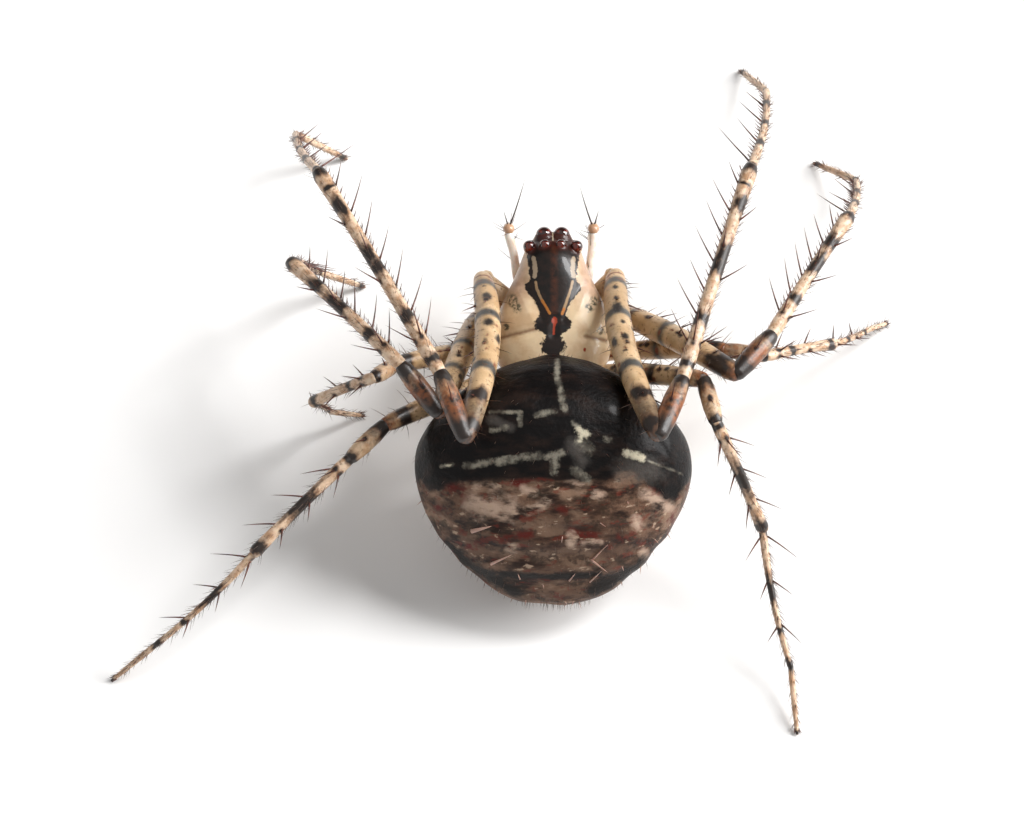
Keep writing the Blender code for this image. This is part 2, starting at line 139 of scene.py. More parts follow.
def addNode(tree, kind, settings, output=0):
    # a setting is one of the node's own, a value for an input, or a socket linked to it
    node = tree.nodes.new("ShaderNode" + kind)
    for key, value in settings.items():
        if isinstance(value, bpy.types.NodeSocket):
            tree.links.new(value, node.inputs[key])
        elif isinstance(key, str) and hasattr(node, key):
            setattr(node, key, value)
        else:
            node.inputs[key].default_value = value
    return node.outputs[output]


def breakMark(tree, patterns, name, pattern, amount, softness=0.12, edge=0.5):
    mark = addNode(tree, "Attribute", {"attribute_name": name}, "Fac")
    push = addNode(tree, "Math", {"operation": "SUBTRACT", 0: patterns[pattern], 1: 0.5})
    pushed = addNode(tree, "Math", {"operation": "MULTIPLY_ADD", 0: push, 1: amount, 2: mark})
    broken = addNode(tree, "MapRange", {
        **smooth, "Value": pushed, "From Min": edge - softness, "From Max": edge + softness})
    inside = addNode(tree, "MapRange", {**smooth, "Value": mark, "From Min": 0.02, "From Max": 0.25})
    return addNode(tree, "Math", {"operation": "MULTIPLY", 0: broken, 1: inside})


def coverShare(tree, patterns, factors):
    share = None
    for factor in factors:
        if isinstance(factor, float):
            part = factor
        elif isinstance(factor, str) and factor in patterns:
            part = patterns[factor]
        elif isinstance(factor, str):
            part = addNode(tree, "Attribute", {"attribute_name": factor}, "Fac")
        elif isinstance(factor[1], str):
            part = breakMark(tree, patterns, *factor)
        else:
            name, low, high, *least = factor
            part = addNode(tree, "MapRange", {
                **smooth, "Value": patterns[name], "From Min": low, "From Max": high,
                "To Min": least[0] if least else 0.0})
        if share is not None:
            part = addNode(tree, "Math", {"operation": "MULTIPLY", 0: share, 1: part})
        share = part
    return share


def layColour(tree, patterns, colour):
    if isinstance(colour, str):
        return fromHex(colour)
    under = layColour(tree, patterns, colour[0])
    for coat, *factors in colour[1:]:
        under = addNode(tree, "Mix", {
            "data_type": "RGBA", 0: coverShare(tree, patterns, factors), 6: under,
            7: layColour(tree, patterns, coat)}, 2)
    return under


def makeFinish(name, recipe):
    finish = bpy.data.materials.new(name)
    finish.use_nodes = True
    tree = finish.node_tree
    shader = tree.nodes["Principled BSDF"]
    for socket, value in recipe["shader"].items():
        shader.inputs[socket].default_value = value
    place = addNode(tree, "TexCoord", {}, "Object")
    patterns = {}
    for key, (size, detail, roughness, *stretch) in recipe["patterns"].items():
        spot = addNode(tree, "Mapping", {"Scale": stretch[0], "Vector": place}) if stretch else place
        patterns[key] = addNode(tree, "TexNoise", {
            "Scale": 1 / (size * mm), "Detail": detail, "Roughness": roughness, "Vector": spot}, "Fac")
    tree.links.new(layColour(tree, patterns, recipe["colour"]), shader.inputs["Base Color"])
    if "relief" in recipe:
        strength, depth, weights = recipe["relief"]
        height = 0.0
        for key, weight in weights.items():
            height = addNode(tree, "Math", {
                "operation": "MULTIPLY_ADD", 0: patterns[key], 1: weight, 2: height})
        normal = addNode(tree, "Bump", {
            "Strength": strength, "Distance": depth * mm, "Height": height}, "Normal")
        tree.links.new(normal, shader.inputs["Normal"])
    return finish


def hairHorn(name, root, tip):
    # solid horn of fine body hairs: each is a little lighter or darker than the next
    return makeFinish(name, {
        "shader": {"Roughness": 0.35, "IOR": 1.55, "Subsurface Weight": 0.1,
                   "Subsurface Scale": 0.02 * mm},
        "patterns": {"tone": (0.2, 2, 0.55)},
        "colour": [root, (tip, "tone")],
    })


def clearCuticle(name, first, second):
    # thin, half clear cuticle of the palps, mouth and underside: light gets into it,
    # and its wet-looking surface is faintly pitted
    return makeFinish(name, {
        "shader": {"Roughness": 0.33, "IOR": 1.52, "Coat Weight": 0.5, "Coat Roughness": 0.1,
                   "Subsurface Weight": 0.4, "Subsurface Radius": (1.0, 0.7, 0.5),
                   "Subsurface Scale": 0.1 * mm},
        "patterns": {"tone": (0.16, 4, 0.55), "pits": (0.04, 3, 0.55)},
        "colour": [first, (second, ("tone", 0.35, 0.65)), ("#bd9474", "knee")],
        "relief": (0.3, 0.01, {"pits": 1.0}),
    })


# Mesh helpers

def makeMesh(name, points, faces, finish, marks=None, stands=()):
    mesh = bpy.data.meshes.new(name)
    mesh.from_pydata(toWorld(points).tolist(), [], faces)
    mesh.materials.append(finish)
    mesh.polygons.foreach_set("use_smooth", [True] * len(mesh.polygons))
    for key, values in (marks or {}).items():
        layer = mesh.attributes.new(key, "FLOAT", "POINT")
        layer.data.foreach_set("value", np.asarray(values, np.float32))
    mesh.update()
    piece = bpy.data.objects.new(name, mesh)
    bpy.context.scene.collection.objects.link(piece)
    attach(piece, "root")
    if stands:
        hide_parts(*stands)
    return piece


def gridFaces(rows, sides, first=0):
    # quads round a grid of rings, with a fan to a last point at each end
    i, k = np.meshgrid(np.arange(rows - 1), np.arange(sides), indexing="ij")
    a = first + i * sides + k
    b = first + i * sides + (k + 1) % sides
    quads = np.stack([a, b, b + sides, a + sides], -1).reshape(-1, 4).tolist()
    start, end = first + rows * sides, first + rows * sides + 1
    last = first + (rows - 1) * sides
    for k in range(sides):
        n = (k + 1) % sides
        quads.append([first + n, first + k, start])
        quads.append([last + k, last + n, end])
    return quads


def closeGrid(rings):
    return np.concatenate([rings.reshape(-1, 3), rings[0].mean(0)[None], rings[-1].mean(0)[None]])


def smoothStops(stops, count):
    # evenly read rows from a smooth curve through the stops
    stops = np.asarray(stops, float)
    last = len(stops) - 1
    t = np.linspace(0, last - 1e-9, count)
    i = t.astype(int)
    f = (t - i)[:, None]
    a, b = stops[np.maximum(i - 1, 0)], stops[i]
    c, d = stops[i + 1], stops[np.minimum(i + 2, last)]
    square, cube = 2 * a - 5 * b + 4 * c - d, 3 * b - a - 3 * c + d
    return 0.5 * (2 * b + (c - a) * f + square * f ** 2 + cube * f ** 3)


def ringGrid(rings, count, sides):
    # upright rings: ahead, half width, height of the widest line, top, bottom
    fine = smoothStops(rings, count)
    angle = np.linspace(0, fullTurn, sides, endpoint=False)
    ahead, half, middle, top, bottom = [fine[:, k][:, None] for k in range(5)]
    lift = np.where(np.sin(angle) > 0, top - middle, middle - bottom)
    return np.stack([half * np.cos(angle), ahead + 0 * angle, middle + lift * np.sin(angle)], -1)


def tubeMesh(name, stops, finish, stands, sides=28, count=70, tinted=(2, 3)):
    # a round tube through (right, ahead, up, radius) stops; tinted is the share of its
    # length that has the colour of a knee
    rows = smoothStops(stops, count)
    line, radius = rows[:, :3], np.maximum(rows[:, 3], 0.004)
    along = unit(np.gradient(line, axis=0))
    across = unit(np.cross(along, [[0.31, 0.2, 1.0]]))
    other = np.cross(along, across)
    angle = np.linspace(0, fullTurn, sides, endpoint=False)
    cos, sin = np.cos(angle)[:, None], np.sin(angle)[:, None]
    grid = line[:, None] + (across[:, None] * cos + other[:, None] * sin) * radius[:, None, None]
    t = np.linspace(0, 1, count)
    knee = np.repeat(ramp(t, tinted[0], 12) * ramp(-t, -tinted[1], 12), sides)
    makeMesh(name, closeGrid(grid), gridFaces(count, sides), finish,
             {"knee": np.append(knee, [0, 0])}, stands)


def mirrored(stops, sign):
    return [(sign * right, *rest) for right, *rest in stops]


def climbPlan(points):
    # the back seen square to a plane that slopes as the camera looks: right, climb
    p = np.asarray(points, float)
    return p[..., 0], p[..., 1] * math.sin(photoTilt) + (p[..., 2] - aimHeight) * math.cos(photoTilt)


def stroke(u, v, line, width):
    # 1 on a drawn line, falling to 0 at width from it
    line = np.asarray(line, float)
    near = np.full(np.shape(u), 1e9)
    for (ax, ay), (bx, by) in zip(line, line[1:]):
        dx, dy = bx - ax, by - ay
        t = np.clip(((u - ax) * dx + (v - ay) * dy) / (dx * dx + dy * dy + 1e-12), 0, 1)
        near = np.minimum(near, np.hypot(u - ax - t * dx, v - ay - t * dy))
    return np.clip(1 - near / width, 0, 1)


def ramp(values, start, slope, most=1):
    # 0 up to the start, then rising to most
    return np.clip((values - start) * slope, 0, most)


def fade(reach):
    # 1 in the middle of a mark, 0.5 at its edge, where reach is 1
    return np.clip(1 - 0.5 * reach, 0, 1)


def drawLines(u, v, lines):
    return strongest([stroke(u, v, line, 2 * half) for half, *line in lines])


def blot(u, v, centre, size):
    return fade(np.hypot((u - centre[0]) / size[0], (v - centre[1]) / size[1]))


def strongest(layers):
    return np.maximum.reduce(layers)


# Hairs and spines

def newHairs():
    return {"roots": [], "ways": [], "lengths": [], "radii": [], "leans": [], "patches": []}


def growHair(hairs, root, way, length, radius, lean=(0, 0, 0), patch=None):
    # patch is the hair's own spot on the bake map
    if patch is None:
        patch = ((len(hairs["roots"]) + 0.5) / 64, 0.5 / 64)
    for key, value in zip(hairs, (root, way, length, radius, lean, patch)):
        hairs[key].append(value)


def hairMesh(name, hairs, finish, sides=3, levels=4, bend=0.0):
    # tapered hairs that bend towards their lean
    roots, ways, lengths, radii, leans, patches = [np.asarray(hairs[key], float) for key in newHairs()]
    ways = unit(ways)
    count = len(roots)
    helper = np.where(np.abs(ways[:, 2:3]) > 0.9, np.array([[1.0, 0, 0]]), np.array([[0, 0, 1.0]]))
    across = unit(np.cross(ways, helper))
    other = np.cross(ways, across)
    t = np.linspace(0, 1, levels)
    angle = np.arange(sides) * fullTurn / sides
    taper = (1 - t) ** 0.75
    line = (roots[:, None] + ways[:, None] * (lengths[:, None] * t)[..., None]
            + leans[:, None] * (lengths[:, None] * bend * t ** 2)[..., None])
    around = (across[:, None, None] * np.cos(angle)[None, None, :, None]
              + other[:, None, None] * np.sin(angle)[None, None, :, None])
    rings = line[:, :-1, None] + around * (radii[:, None] * taper[:-1])[:, :, None, None]
    points = np.concatenate([rings.reshape(count, -1, 3), line[:, -1:], roots[:, None]], 1)
    per = points.shape[1]
    quads, fans, last = [], [], (levels - 2) * sides
    for k in range(sides):
        n = (k + 1) % sides
        quads += [(a + k, a + n, a + sides + n, a + sides + k) for a in range(0, last, sides)]
        fans += [(last + k, last + n, per - 2), (n, k, per - 1)]
    starts = (np.arange(count) * per)[:, None, None]
    faces = (np.asarray(quads)[None] + starts).reshape(-1, 4).tolist()
    faces += (np.asarray(fans)[None] + starts).reshape(-1, 3).tolist()
    piece = makeMesh(name, points.reshape(-1, 3), faces, finish)
    loops = np.empty(len(piece.data.loops), np.int32)
    piece.data.loops.foreach_get("vertex_index", loops)
    local = loops % per
    offset = np.stack([(local % sides) / sides, (local // sides) / levels], 1) * 0.003
    layer = piece.data.uv_layers.new(name="OFBake")
    spots = np.clip(patches[loops // per], 0, 0.995) + offset
    layer.data.foreach_set("uv", spots.astype(np.float32).ravel())


# Legs. Tables by number are by pair, from the front.

leg = {
    "parts": ("coxa", "femur", "patella", "tibia", "metatarsus", "tarsus"),
    "sides": 26, "rows": 90, "footHeight": 0.05,
    # how far the ends of a piece run into its joints, so that no gap shows, and how
    # evenly its rows stand: 1 is even, less is closer together at the ends
    "lead": 0.05, "evenness": 0.75,
    # from the femur on
    "lengths": {1: (3.84, 1.1, 4.05, 3.0, 1.2), 2: (2.65, 0.9, 2.75, 2.2, 1.0),
                3: (1.8, 0.65, 1.45, 1.25, 0.75), 4: (2.35, 0.75, 2.05, 2.15, 1.0)},
    "stoutness": {1: 1.0, 2: 0.96, 3: 0.78, 4: 0.82},
    "coxaRoot": {1: (0.43, 1.58, 1.44), 2: (0.44, 1.26, 1.38), 3: (0.42, 0.97, 1.36), 4: (0.3, 0.6, 1.36)},
    # where the femur starts; the turn and rise of the femur, patella, tibia and
    # metatarsus; and the turn of the tarsus, which reaches down to the floor
    "pose": {
        ("right", 1): ((0.97, 2.1, 1.9), (170, 24), (20, -10), (16, -7), (8, -39), -24),
        ("left", 1): ((-1.09, 2.05, 1.9), (-176, 25), (-20, 4), (-28, -4), (-13, -51), 86),
        ("right", 2): ((1.15, 1.5, 1.7), (135, 30), (38, -7), (28, -14), (8, -48), -46),
        ("left", 2): ((-1.15, 1.45, 1.7), (-165, 30), (-43, 26), (-40, -13), (25, -66), 80),
        ("right", 3): ((1.1, 1.0, 1.45), (104, 29), (98, -3), (61, -34), (42, -44), 41),
        ("left", 3): ((-1.1, 1.0, 1.45), (-118, 34), (-142, 38), (-84, -49), (33, -69), 68),
        ("right", 4): ((0.66, 0.58, 1.5), (116, 40), (166, 2), (145, -51), (167, -27), 174),
        ("left", 4): ((-0.72, 0.54, 1.5), (-123, 21), (-134, -8), (-134, -11), (-124, -32), -114),
    },
    # radii along each piece as (share of its length, radius)
    "profiles": {
        "coxa": ((0.0, 0.08), (0.12, 0.15), (0.5, 0.175), (0.78, 0.15), (0.84, 0.14), (0.92, 0.165),
                 (1.0, 0.11)),
        "femur": ((0.0, 0.08), (0.03, 0.15), (0.12, 0.185), (0.35, 0.205), (0.7, 0.19), (0.93, 0.165),
                  (0.985, 0.13), (1.0, 0.07)),
        "patella": ((0.0, 0.08), (0.07, 0.135), (0.3, 0.16), (0.65, 0.162), (0.9, 0.135), (1.0, 0.08)),
        "tibia": ((0.0, 0.06), (0.02, 0.105), (0.1, 0.118), (0.35, 0.103), (0.7, 0.101), (0.88, 0.118),
                  (0.955, 0.128), (0.99, 0.1), (1.0, 0.05)),
        "metatarsus": ((0.0, 0.05), (0.025, 0.078), (0.08, 0.076), (0.5, 0.062), (0.9, 0.056), (0.97, 0.06),
                       (1.0, 0.03)),
        "tarsus": ((0.0, 0.03), (0.03, 0.05), (0.2, 0.058), (0.6, 0.052), (0.9, 0.04), (1.0, 0.02)),
    },
    # how far a piece bows out of a straight line, up and to the rear, as shares of its
    # length; the first femora bend in towards the body
    "bow": {"femur": (0.035, 0.0), "tibia": (0.02, 0.0), "metatarsus": (0.015, 0.03)},
    "firstFemurBow": (0.045, 0.05),
}

legMarks = {
    # dark bands as (share of the length, half width in mm), and for one that isn't
    # all round the piece the side it lies on and how far it reaches
    "bands": {
        "femur": {1: ((0.8, 0.1, 20, 0.45), (0.95, 0.11)), 2: ((0.88, 0.2),), 3: ((0.9, 0.1, 0, 0.7),),
                  4: ((0.86, 0.12, 0, 0.8), (0.6, 0.05, 0, 0.4))},
        "patella": {1: ((0.95, 0.17), (0.1, 0.2)), 2: ((0.93, 0.16), (0.1, 0.2)), 3: ((0.95, 0.06, 0, 0.6),),
                    4: ((0.1, 0.13, 0, 0.8), (0.97, 0.08))},
        "tibia": {1: ((0.07, 0.06, 0, 0.7), (0.27, 0.1, 0, 0.8), (0.5, 0.12), (0.56, 0.19, -50, 0.45),
                      (0.8, 0.14, -45, 0.42), (0.975, 0.09), (0.89, 0.03, 0, 0.3)),
                  2: ((0.28, 0.08, 0, 0.8), (0.53, 0.11, -20, 0.6), (0.58, 0.16, -60, 0.4),
                      (0.74, 0.13, -30, 0.55), (0.975, 0.08)),
                  3: ((0.35, 0.05, 0, 0.6), (0.9, 0.06, 0, 0.7)),
                  4: ((0.04, 0.05), (0.5, 0.26, 0, 0.85), (0.93, 0.11))},
        "metatarsus": {1: ((0.01, 0.06), (0.27, 0.1), (0.52, 0.09), (0.78, 0.1), (0.98, 0.04)),
                       2: ((0.01, 0.06), (0.3, 0.09), (0.58, 0.09), (0.95, 0.06)),
                       3: ((0.35, 0.05, 0, 0.6), (0.8, 0.05, 0, 0.8)),
                       4: ((0.44, 0.2, 0, 0.9), (0.72, 0.05), (0.97, 0.1))},
        "tarsus": {1: ((0.9, 0.08),), 2: ((0.9, 0.07),), 3: ((0.95, 0.05),), 4: ((0.04, 0.07), (0.97, 0.04))},
    },
    # how ragged the edges of the bands are, in three and in seven lobes
    "lobes": ((3, 0.28), (7, 0.16)),
    # radius of the dark collar round the root of a long and of a short spine
    "collars": (0.036, 0.014),
    # grey rings round the femora: shares of the length
    "rings": {1: (0.125, 0.345, 0.66), 2: (0.12, 0.42, 0.66), 3: (0.4,), 4: (0.3, 0.6)},
    "ringHalf": 0.085, "ringStrength": {1: 1.0, 2: 0.8, 3: 0.8, 4: 0.8},
    # spots on a femur: share of its length, turn round it (positive is the outer
    # side), half length and half width
    "spots": {
        ("left", 1): ((0.09, -82, 0.1, 0.08), (0.142, 8, 0.03, 0.035), (0.216, 0, 0.1, 0.08),
                      (0.325, -16, 0.035, 0.035), (0.394, -2, 0.09, 0.085), (0.47, -58, 0.1, 0.07),
                      (0.174, 75, 0.06, 0.045), (0.253, 75, 0.05, 0.04), (0.5, 8, 0.035, 0.03),
                      (0.3, -74, 0.07, 0.045), (0.6, 60, 0.05, 0.05)),
        ("right", 1): ((0.09, -82, 0.1, 0.08), (0.165, 2, 0.055, 0.05), (0.305, 2, 0.14, 0.085),
                       (0.4, 16, 0.05, 0.045), (0.49, 12, 0.085, 0.065), (0.5, -46, 0.11, 0.06),
                       (0.24, 75, 0.05, 0.04), (0.42, 72, 0.06, 0.05), (0.57, -6, 0.04, 0.035)),
        2: ((0.25, 10, 0.06, 0.05), (0.55, 0, 0.05, 0.045), (0.34, 65, 0.05, 0.05), (0.7, -50, 0.06, 0.05)),
        3: ((0.3, 0, 0.05, 0.045), (0.65, 25, 0.05, 0.045)),
        4: ((0.25, 20, 0.05, 0.045), (0.45, -15, 0.06, 0.05), (0.72, 10, 0.05, 0.05)),
    },
    "redSpots": ((0.055, 0, 0.02, 0.35), (0.085, -60, 0.025, 0.16), (0.1, 40, 0.02, 0.1),
                 (0.475, 2, 0.035, 0.03), (0.556, -4, 0.035, 0.03), (0.4, -38, 0.03, 0.05),
                 (0.06, -40, 0.04, 0.06), (0.62, -60, 0.05, 0.04), (0.36, 70, 0.05, 0.03)),
    "coxaDots": 5,
    # how brown the patellae are, and how that fades along them as (full, fall)
    "kneeWarmth": {1: 1.15, 2: 1.1, 3: 0.6, 4: 0.6}, "kneeFade": (1.15, 0.9),
    # brown and smoky tips of the femora as (start, slope, most)
    "femurWarm": (0.84, 5, 0.85), "firstFemurSmoke": (0.68, 3.2, 0.62),
    # how far each piece has the pinker tone of the outer leg
    "outer": {"coxa": 0.1, "femur": 0.0, "patella": 0.5, "tibia": 1.0, "metatarsus": 1.0, "tarsus": 1.0},
}

legHairs = {
    # long spines: how many on the front, back and top, and the longest in mm
    "rows": {
        "femur": {1: (3, 0, 3, 0.32), 2: (4, 0, 3, 0.32), 3: (1, 0, 2, 0.28), 4: (2, 0, 2, 0.3)},
        "patella": {1: (0, 0, 1, 0.4), 2: (0, 0, 1, 0.36), 3: (0, 0, 1, 0.3), 4: (0, 0, 1, 0.34)},
        "tibia": {1: (7, 3, 2, 0.6), 2: (6, 3, 2, 0.56), 3: (2, 2, 1, 0.36), 4: (3, 3, 1, 0.46)},
        "metatarsus": {1: (4, 0, 0, 0.66), 2: (4, 0, 0, 0.6), 3: (2, 2, 0, 0.34), 4: (3, 3, 0, 0.44)},
    },
    # where a row starts and how far it reaches, as shares of the length
    "spread": {"femur": (0.24, 0.86), "patella": (0.53, 0.86), "tibia": (0.16, 0.86),
               "metatarsus": (0.06, 0.96)},
    # turn of the front, back and top rows round the leg, and how long their spines are
    "turns": (78, -72, 6), "shares": (1.0, 0.78, 0.8),
    # spines shorten towards the foot
    "metatarsusShares": (1.25, 0.9, 0.86, 0.76), "lastTibiaShare": 0.7,
    "spineRadius": 0.016, "spineLean": 44,
    # short spines between the long ones on the front of legs 1 and 2: how many in a
    # gap, and the shortest and how much each next one is longer
    "between": {"tibia": 3, "metatarsus": 5}, "shortest": 0.08, "growth": 0.022, "shortRadius": 0.01,
    "shortLean": 50,
    # fine hairs on a millimetre of each piece, and their length in mm
    "fine": {"femur": (46, 0.13), "patella": (22, 0.14), "tibia": (62, 0.15), "metatarsus": (64, 0.15),
             "tarsus": (80, 0.11)},
    "fineShares": (0.6, 1.35), "fineRadii": (0.0035, 0.006), "fineLeans": (24, 46),
    # erect hairs along both edges of the femora: two in three are on the outer edge
    "edgePerMm": 5, "edgeTurn": 75, "edgeLengths": (0.2, 0.34), "edgeRadius": 0.0075, "edgeLeans": (58, 82),
    # two claws and a tuft between them
    "clawSpreads": (-0.03, 0.0, 0.03), "clawSplay": 4, "clawDroop": 0.25, "clawLength": 0.09,
    "clawRadius": 0.014, "clawRoot": 0.05,
}

# thin cream arthropod cuticle with brown-black bands and grey rings: it lets a
# little light in, and its fine pits dull the shine
legCuticle = {
    "shader": {"Roughness": 0.4, "IOR": 1.52, "Subsurface Weight": 0.3, "Subsurface Radius": (1.0, 0.7, 0.45),
               "Subsurface Scale": 0.08 * mm, "Coat Weight": 0.15, "Coat Roughness": 0.28},
    "patterns": {"fine": (0.05, 5, 0.55), "grain": (0.13, 5, 0.6), "broad": (0.35, 3, 0.55),
                 "freckle": (0.06, 3, 0.55), "pits": (0.03, 3, 0.55)},
    "colour": [
        "#d4b58e", ("#b99870", ("broad", 0.35, 0.65)),
        (["#ddc3a8", ("#b8906e", ("grain", 0.38, 0.66))], "outer"),
        (["#2c1a12", ("#8c5028", ("grain", 0.36, 0.6))], ("warm", "fine", 0.6, 0.3)),
        ("#40352d", ("smoke", "fine", 0.4, 0.4)),
        ("#4c4a46", ("ring", "fine", 0.35, 0.3)),
        ("#6e4a30", ("freckle", 0.58, 0.68), 0.6),
        ("#7d4830", ("redSpot", "fine", 0.5, 0.25)),
        ("#281f1a", ("spot", "fine", 0.4, 0.22)),
        # a brown halo, and the band itself
        ("#6b4a34", ("band", "grain", 0.7, 0.2, 0.28), 0.6),
        ("#231812", ("band", "grain", 1.0, 0.2, 0.54)),
    ],
    "relief": (0.35, 0.012, {"pits": 1.0}),
}

# dark reddish horn of the long leg spines: glossy, with a fine grain
spineHorn = {
    "shader": {"Roughness": 0.3, "IOR": 1.55},
    "patterns": {"tone": (0.12, 3, 0.55), "grain": (0.02, 2, 0.55)},
    "colour": ["#34140f", ("#6a3a2c", ("tone", 0.35, 0.65))],
    "relief": (0.2, 0.004, {"grain": 1.0}),
}


def legLine(side, pair):
    hip, *ways, footTurn = leg["pose"][side, pair]
    *lengths, last = leg["lengths"][pair]
    joints = [np.array(hip, float)]
    for way, length in zip(ways, lengths):
        joints.append(joints[-1] + heading(*way) * length)
    drop = math.degrees(math.asin((leg["footHeight"] - joints[-1][2]) / last))
    joints.append(joints[-1] + heading(footTurn, drop) * last)
    root = np.array(leg["coxaRoot"][pair]) * (sideSigns[side], 1, 1)
    return [root] + joints


def pieceFrame(start, end, side):
    along = unit(end - start)
    across = unit(np.cross([0, 0, 1], along)) * sideSigns[side]
    up = unit(np.cross(along, across))
    return along, across, up * (1 if up[2] >= 0 else -1)


def radiusAt(part, pair, t):
    # both ends of a piece are rounded off
    stops = np.asarray(leg["profiles"][part])
    i = np.clip(np.searchsorted(stops[:, 0], t, side="right") - 1, 0, len(stops) - 2)
    f = np.clip((t - stops[i, 0]) / (stops[i + 1, 0] - stops[i, 0]), 0, 1)
    f = np.where(i == 0, np.sqrt(f), f)
    f = np.where(i == len(stops) - 2, 1 - np.sqrt(1 - f), f)
    return (stops[i, 1] + (stops[i + 1, 1] - stops[i, 1]) * f) * leg["stoutness"][pair]


def bowAt(part, pair, length, t):
    # how far a point of a leg piece lies off the straight line: up, and to the rear
    lift, rear = leg["firstFemurBow"] if (part, pair) == ("femur", 1) else leg["bow"].get(part, (0, 0))
    wave = np.sin(math.pi * np.asarray(t)) * length
    return lift * wave, rear * wave


def planSpines(part, pair):
    # each spine: share of the length, turn round the leg, length, radius, lean, and
    # whether it is a long one
    if part not in legHairs["rows"]:
        return []
    *counts, longest = legHairs["rows"][part][pair]
    start, reach = legHairs["spread"][part]
    plan = []
    for turn, count, share in zip(legHairs["turns"], counts, legHairs["shares"]):
        for k in range(count):
            where = start + reach * k / count + rng.uniform(-0.008, 0.008)
            size = longest * share * rng.uniform(0.92, 1.08)
            if part == "metatarsus":
                size *= legHairs["metatarsusShares"][min(k, 3)]
            if part == "tibia" and pair in (1, 2) and k == count - 1:
                size *= legHairs["lastTibiaShare"]
            plan.append((where, turn + rng.uniform(-8, 8), size, legHairs["spineRadius"],
                         legHairs["spineLean"] + rng.uniform(-6, 8), True))
            between = legHairs["between"].get(part, 0) if share == 1.0 and pair in (1, 2) else 0
            for j in range(1, between + 1):
                near = where + reach / count * j / (between + 1)
                if near < 0.97:
                    plan.append((near, turn - 6, legHairs["shortest"] + legHairs["growth"] * j,
                                 legHairs["shortRadius"], legHairs["shortLean"], False))
    return plan


def paintPart(side, pair, part, length, t, angle, plan):
    # the painted marks of one leg piece, a value for each point of its grid
    where, turn = np.repeat(t, len(angle)), np.tile(angle, len(t))
    around = float(radiusAt(part, pair, 0.5))
    none = np.zeros_like(where)

    def dot(centre, degrees, longHalf, wideHalf):
        away = np.angle(np.exp(1j * (turn - math.radians(degrees)))) * around
        return fade(np.hypot((where - centre) * length / longHalf, away / wideHalf))

    bands, rings, spots, reds = [none], [none], [none], [none]
    for centre, half, *facing in legMarks["bands"].get(part, {}).get(pair, ()):
        degrees, wrap = facing or (0, 1)
        ragged = 1
        for lobes, depth in legMarks["lobes"]:
            ragged = ragged + depth * np.sin(lobes * turn + rng.uniform(0, 6))
        lengthwise = fade(np.abs(where - centre) * length / (half * ragged))
        cover = np.clip(0.5 + (np.cos(turn - math.radians(degrees)) - math.cos(math.pi * wrap)) * 1.2, 0, 1)
        bands.append(np.minimum(lengthwise, cover))
    for centre, degrees, *_, isLong in plan:
        collar = legMarks["collars"][0 if isLong else 1]
        bands.append(dot(centre, degrees, collar * 1.3, collar))
    warm, smoke = none, none
    if part == "coxa":
        for _ in range(legMarks["coxaDots"]):
            reds.append(dot(rng.uniform(0.4, 1), rng.uniform(-90, 90), 0.05, 0.03))
    if part == "femur":
        spots += [dot(*spot) for spot in legMarks["spots"].get((side, pair), legMarks["spots"].get(pair))]
        reds += [dot(*spot) for spot in legMarks["redSpots"]]
        for centre in legMarks["rings"][pair]:
            bent = centre - 0.02 * np.cos(turn)
            ring = fade(np.abs(where - bent) * length / legMarks["ringHalf"])
            rings.append(ring * legMarks["ringStrength"][pair])
        warm = ramp(where, *legMarks["femurWarm"])
        smoke = ramp(where, *legMarks["firstFemurSmoke"]) if pair == 1 else none
    if part == "patella":
        full, fall = legMarks["kneeFade"]
        warm = legMarks["kneeWarmth"][pair] * np.clip(full - fall * where, 0, 1)
    return {"band": strongest(bands), "spot": strongest(spots), "ring": strongest(rings),
            "redSpot": strongest(reds), "warm": warm, "smoke": smoke,
            "outer": np.full_like(where, legMarks["outer"][part])}


def addLegHair(hairs, piece, where, turn, size, thick, lean):
    # a hair rooted a little under the skin, leaning towards the leg's tip
    angle, tilt = math.radians(turn), math.radians(lean)
    outward = piece["up"] * math.cos(angle) + piece["across"] * math.sin(angle)
    lift, rear = bowAt(piece["part"], piece["pair"], piece["length"], where)
    skin = float(radiusAt(piece["part"], piece["pair"], where))
    root = (piece["start"] + piece["along"] * (piece["length"] * where) + piece["up"] * lift
            - piece["across"] * rear + outward * skin * 0.9)
    growHair(hairs, root, piece["along"] * math.cos(tilt) + outward * math.sin(tilt), size, thick,
             piece["along"], ((piece["order"] + where) / 6, (turn % 360) / 360))


def addFineHairs(hairs, piece):
    if piece["part"] in legHairs["fine"]:
        perMm, size = legHairs["fine"][piece["part"]]
        for _ in range(int(perMm * piece["length"])):
            addLegHair(hairs, piece, rng.uniform(0.03, 0.98), rng.uniform(0, 360),
                       size * rng.uniform(*legHairs["fineShares"]), rng.uniform(*legHairs["fineRadii"]),
                       rng.uniform(*legHairs["fineLeans"]))
    if piece["part"] == "femur":
        count = int(legHairs["edgePerMm"] * piece["length"])
        for k in range(count):
            turn = legHairs["edgeTurn"] * (1 if k % 3 else -1) + rng.uniform(-14, 14)
            addLegHair(hairs, piece, (k + 0.6) / count, turn, rng.uniform(*legHairs["edgeLengths"]),
                       legHairs["edgeRadius"], rng.uniform(*legHairs["edgeLeans"]))


def addFoot(hairs, line, side):
    along, across, _ = pieceFrame(line[-2], line[-1], side)
    level = unit(along * (1, 1, 0))
    for spread in legHairs["clawSpreads"]:
        way = unit(level - np.array([0, 0, legHairs["clawDroop"]]) + across * spread * legHairs["clawSplay"])
        root = line[-1] - along * legHairs["clawRoot"] + across * spread
        growHair(hairs, root, way, legHairs["clawLength"], legHairs["clawRadius"], (0, 0, -1.0), (0.99, 0.5))


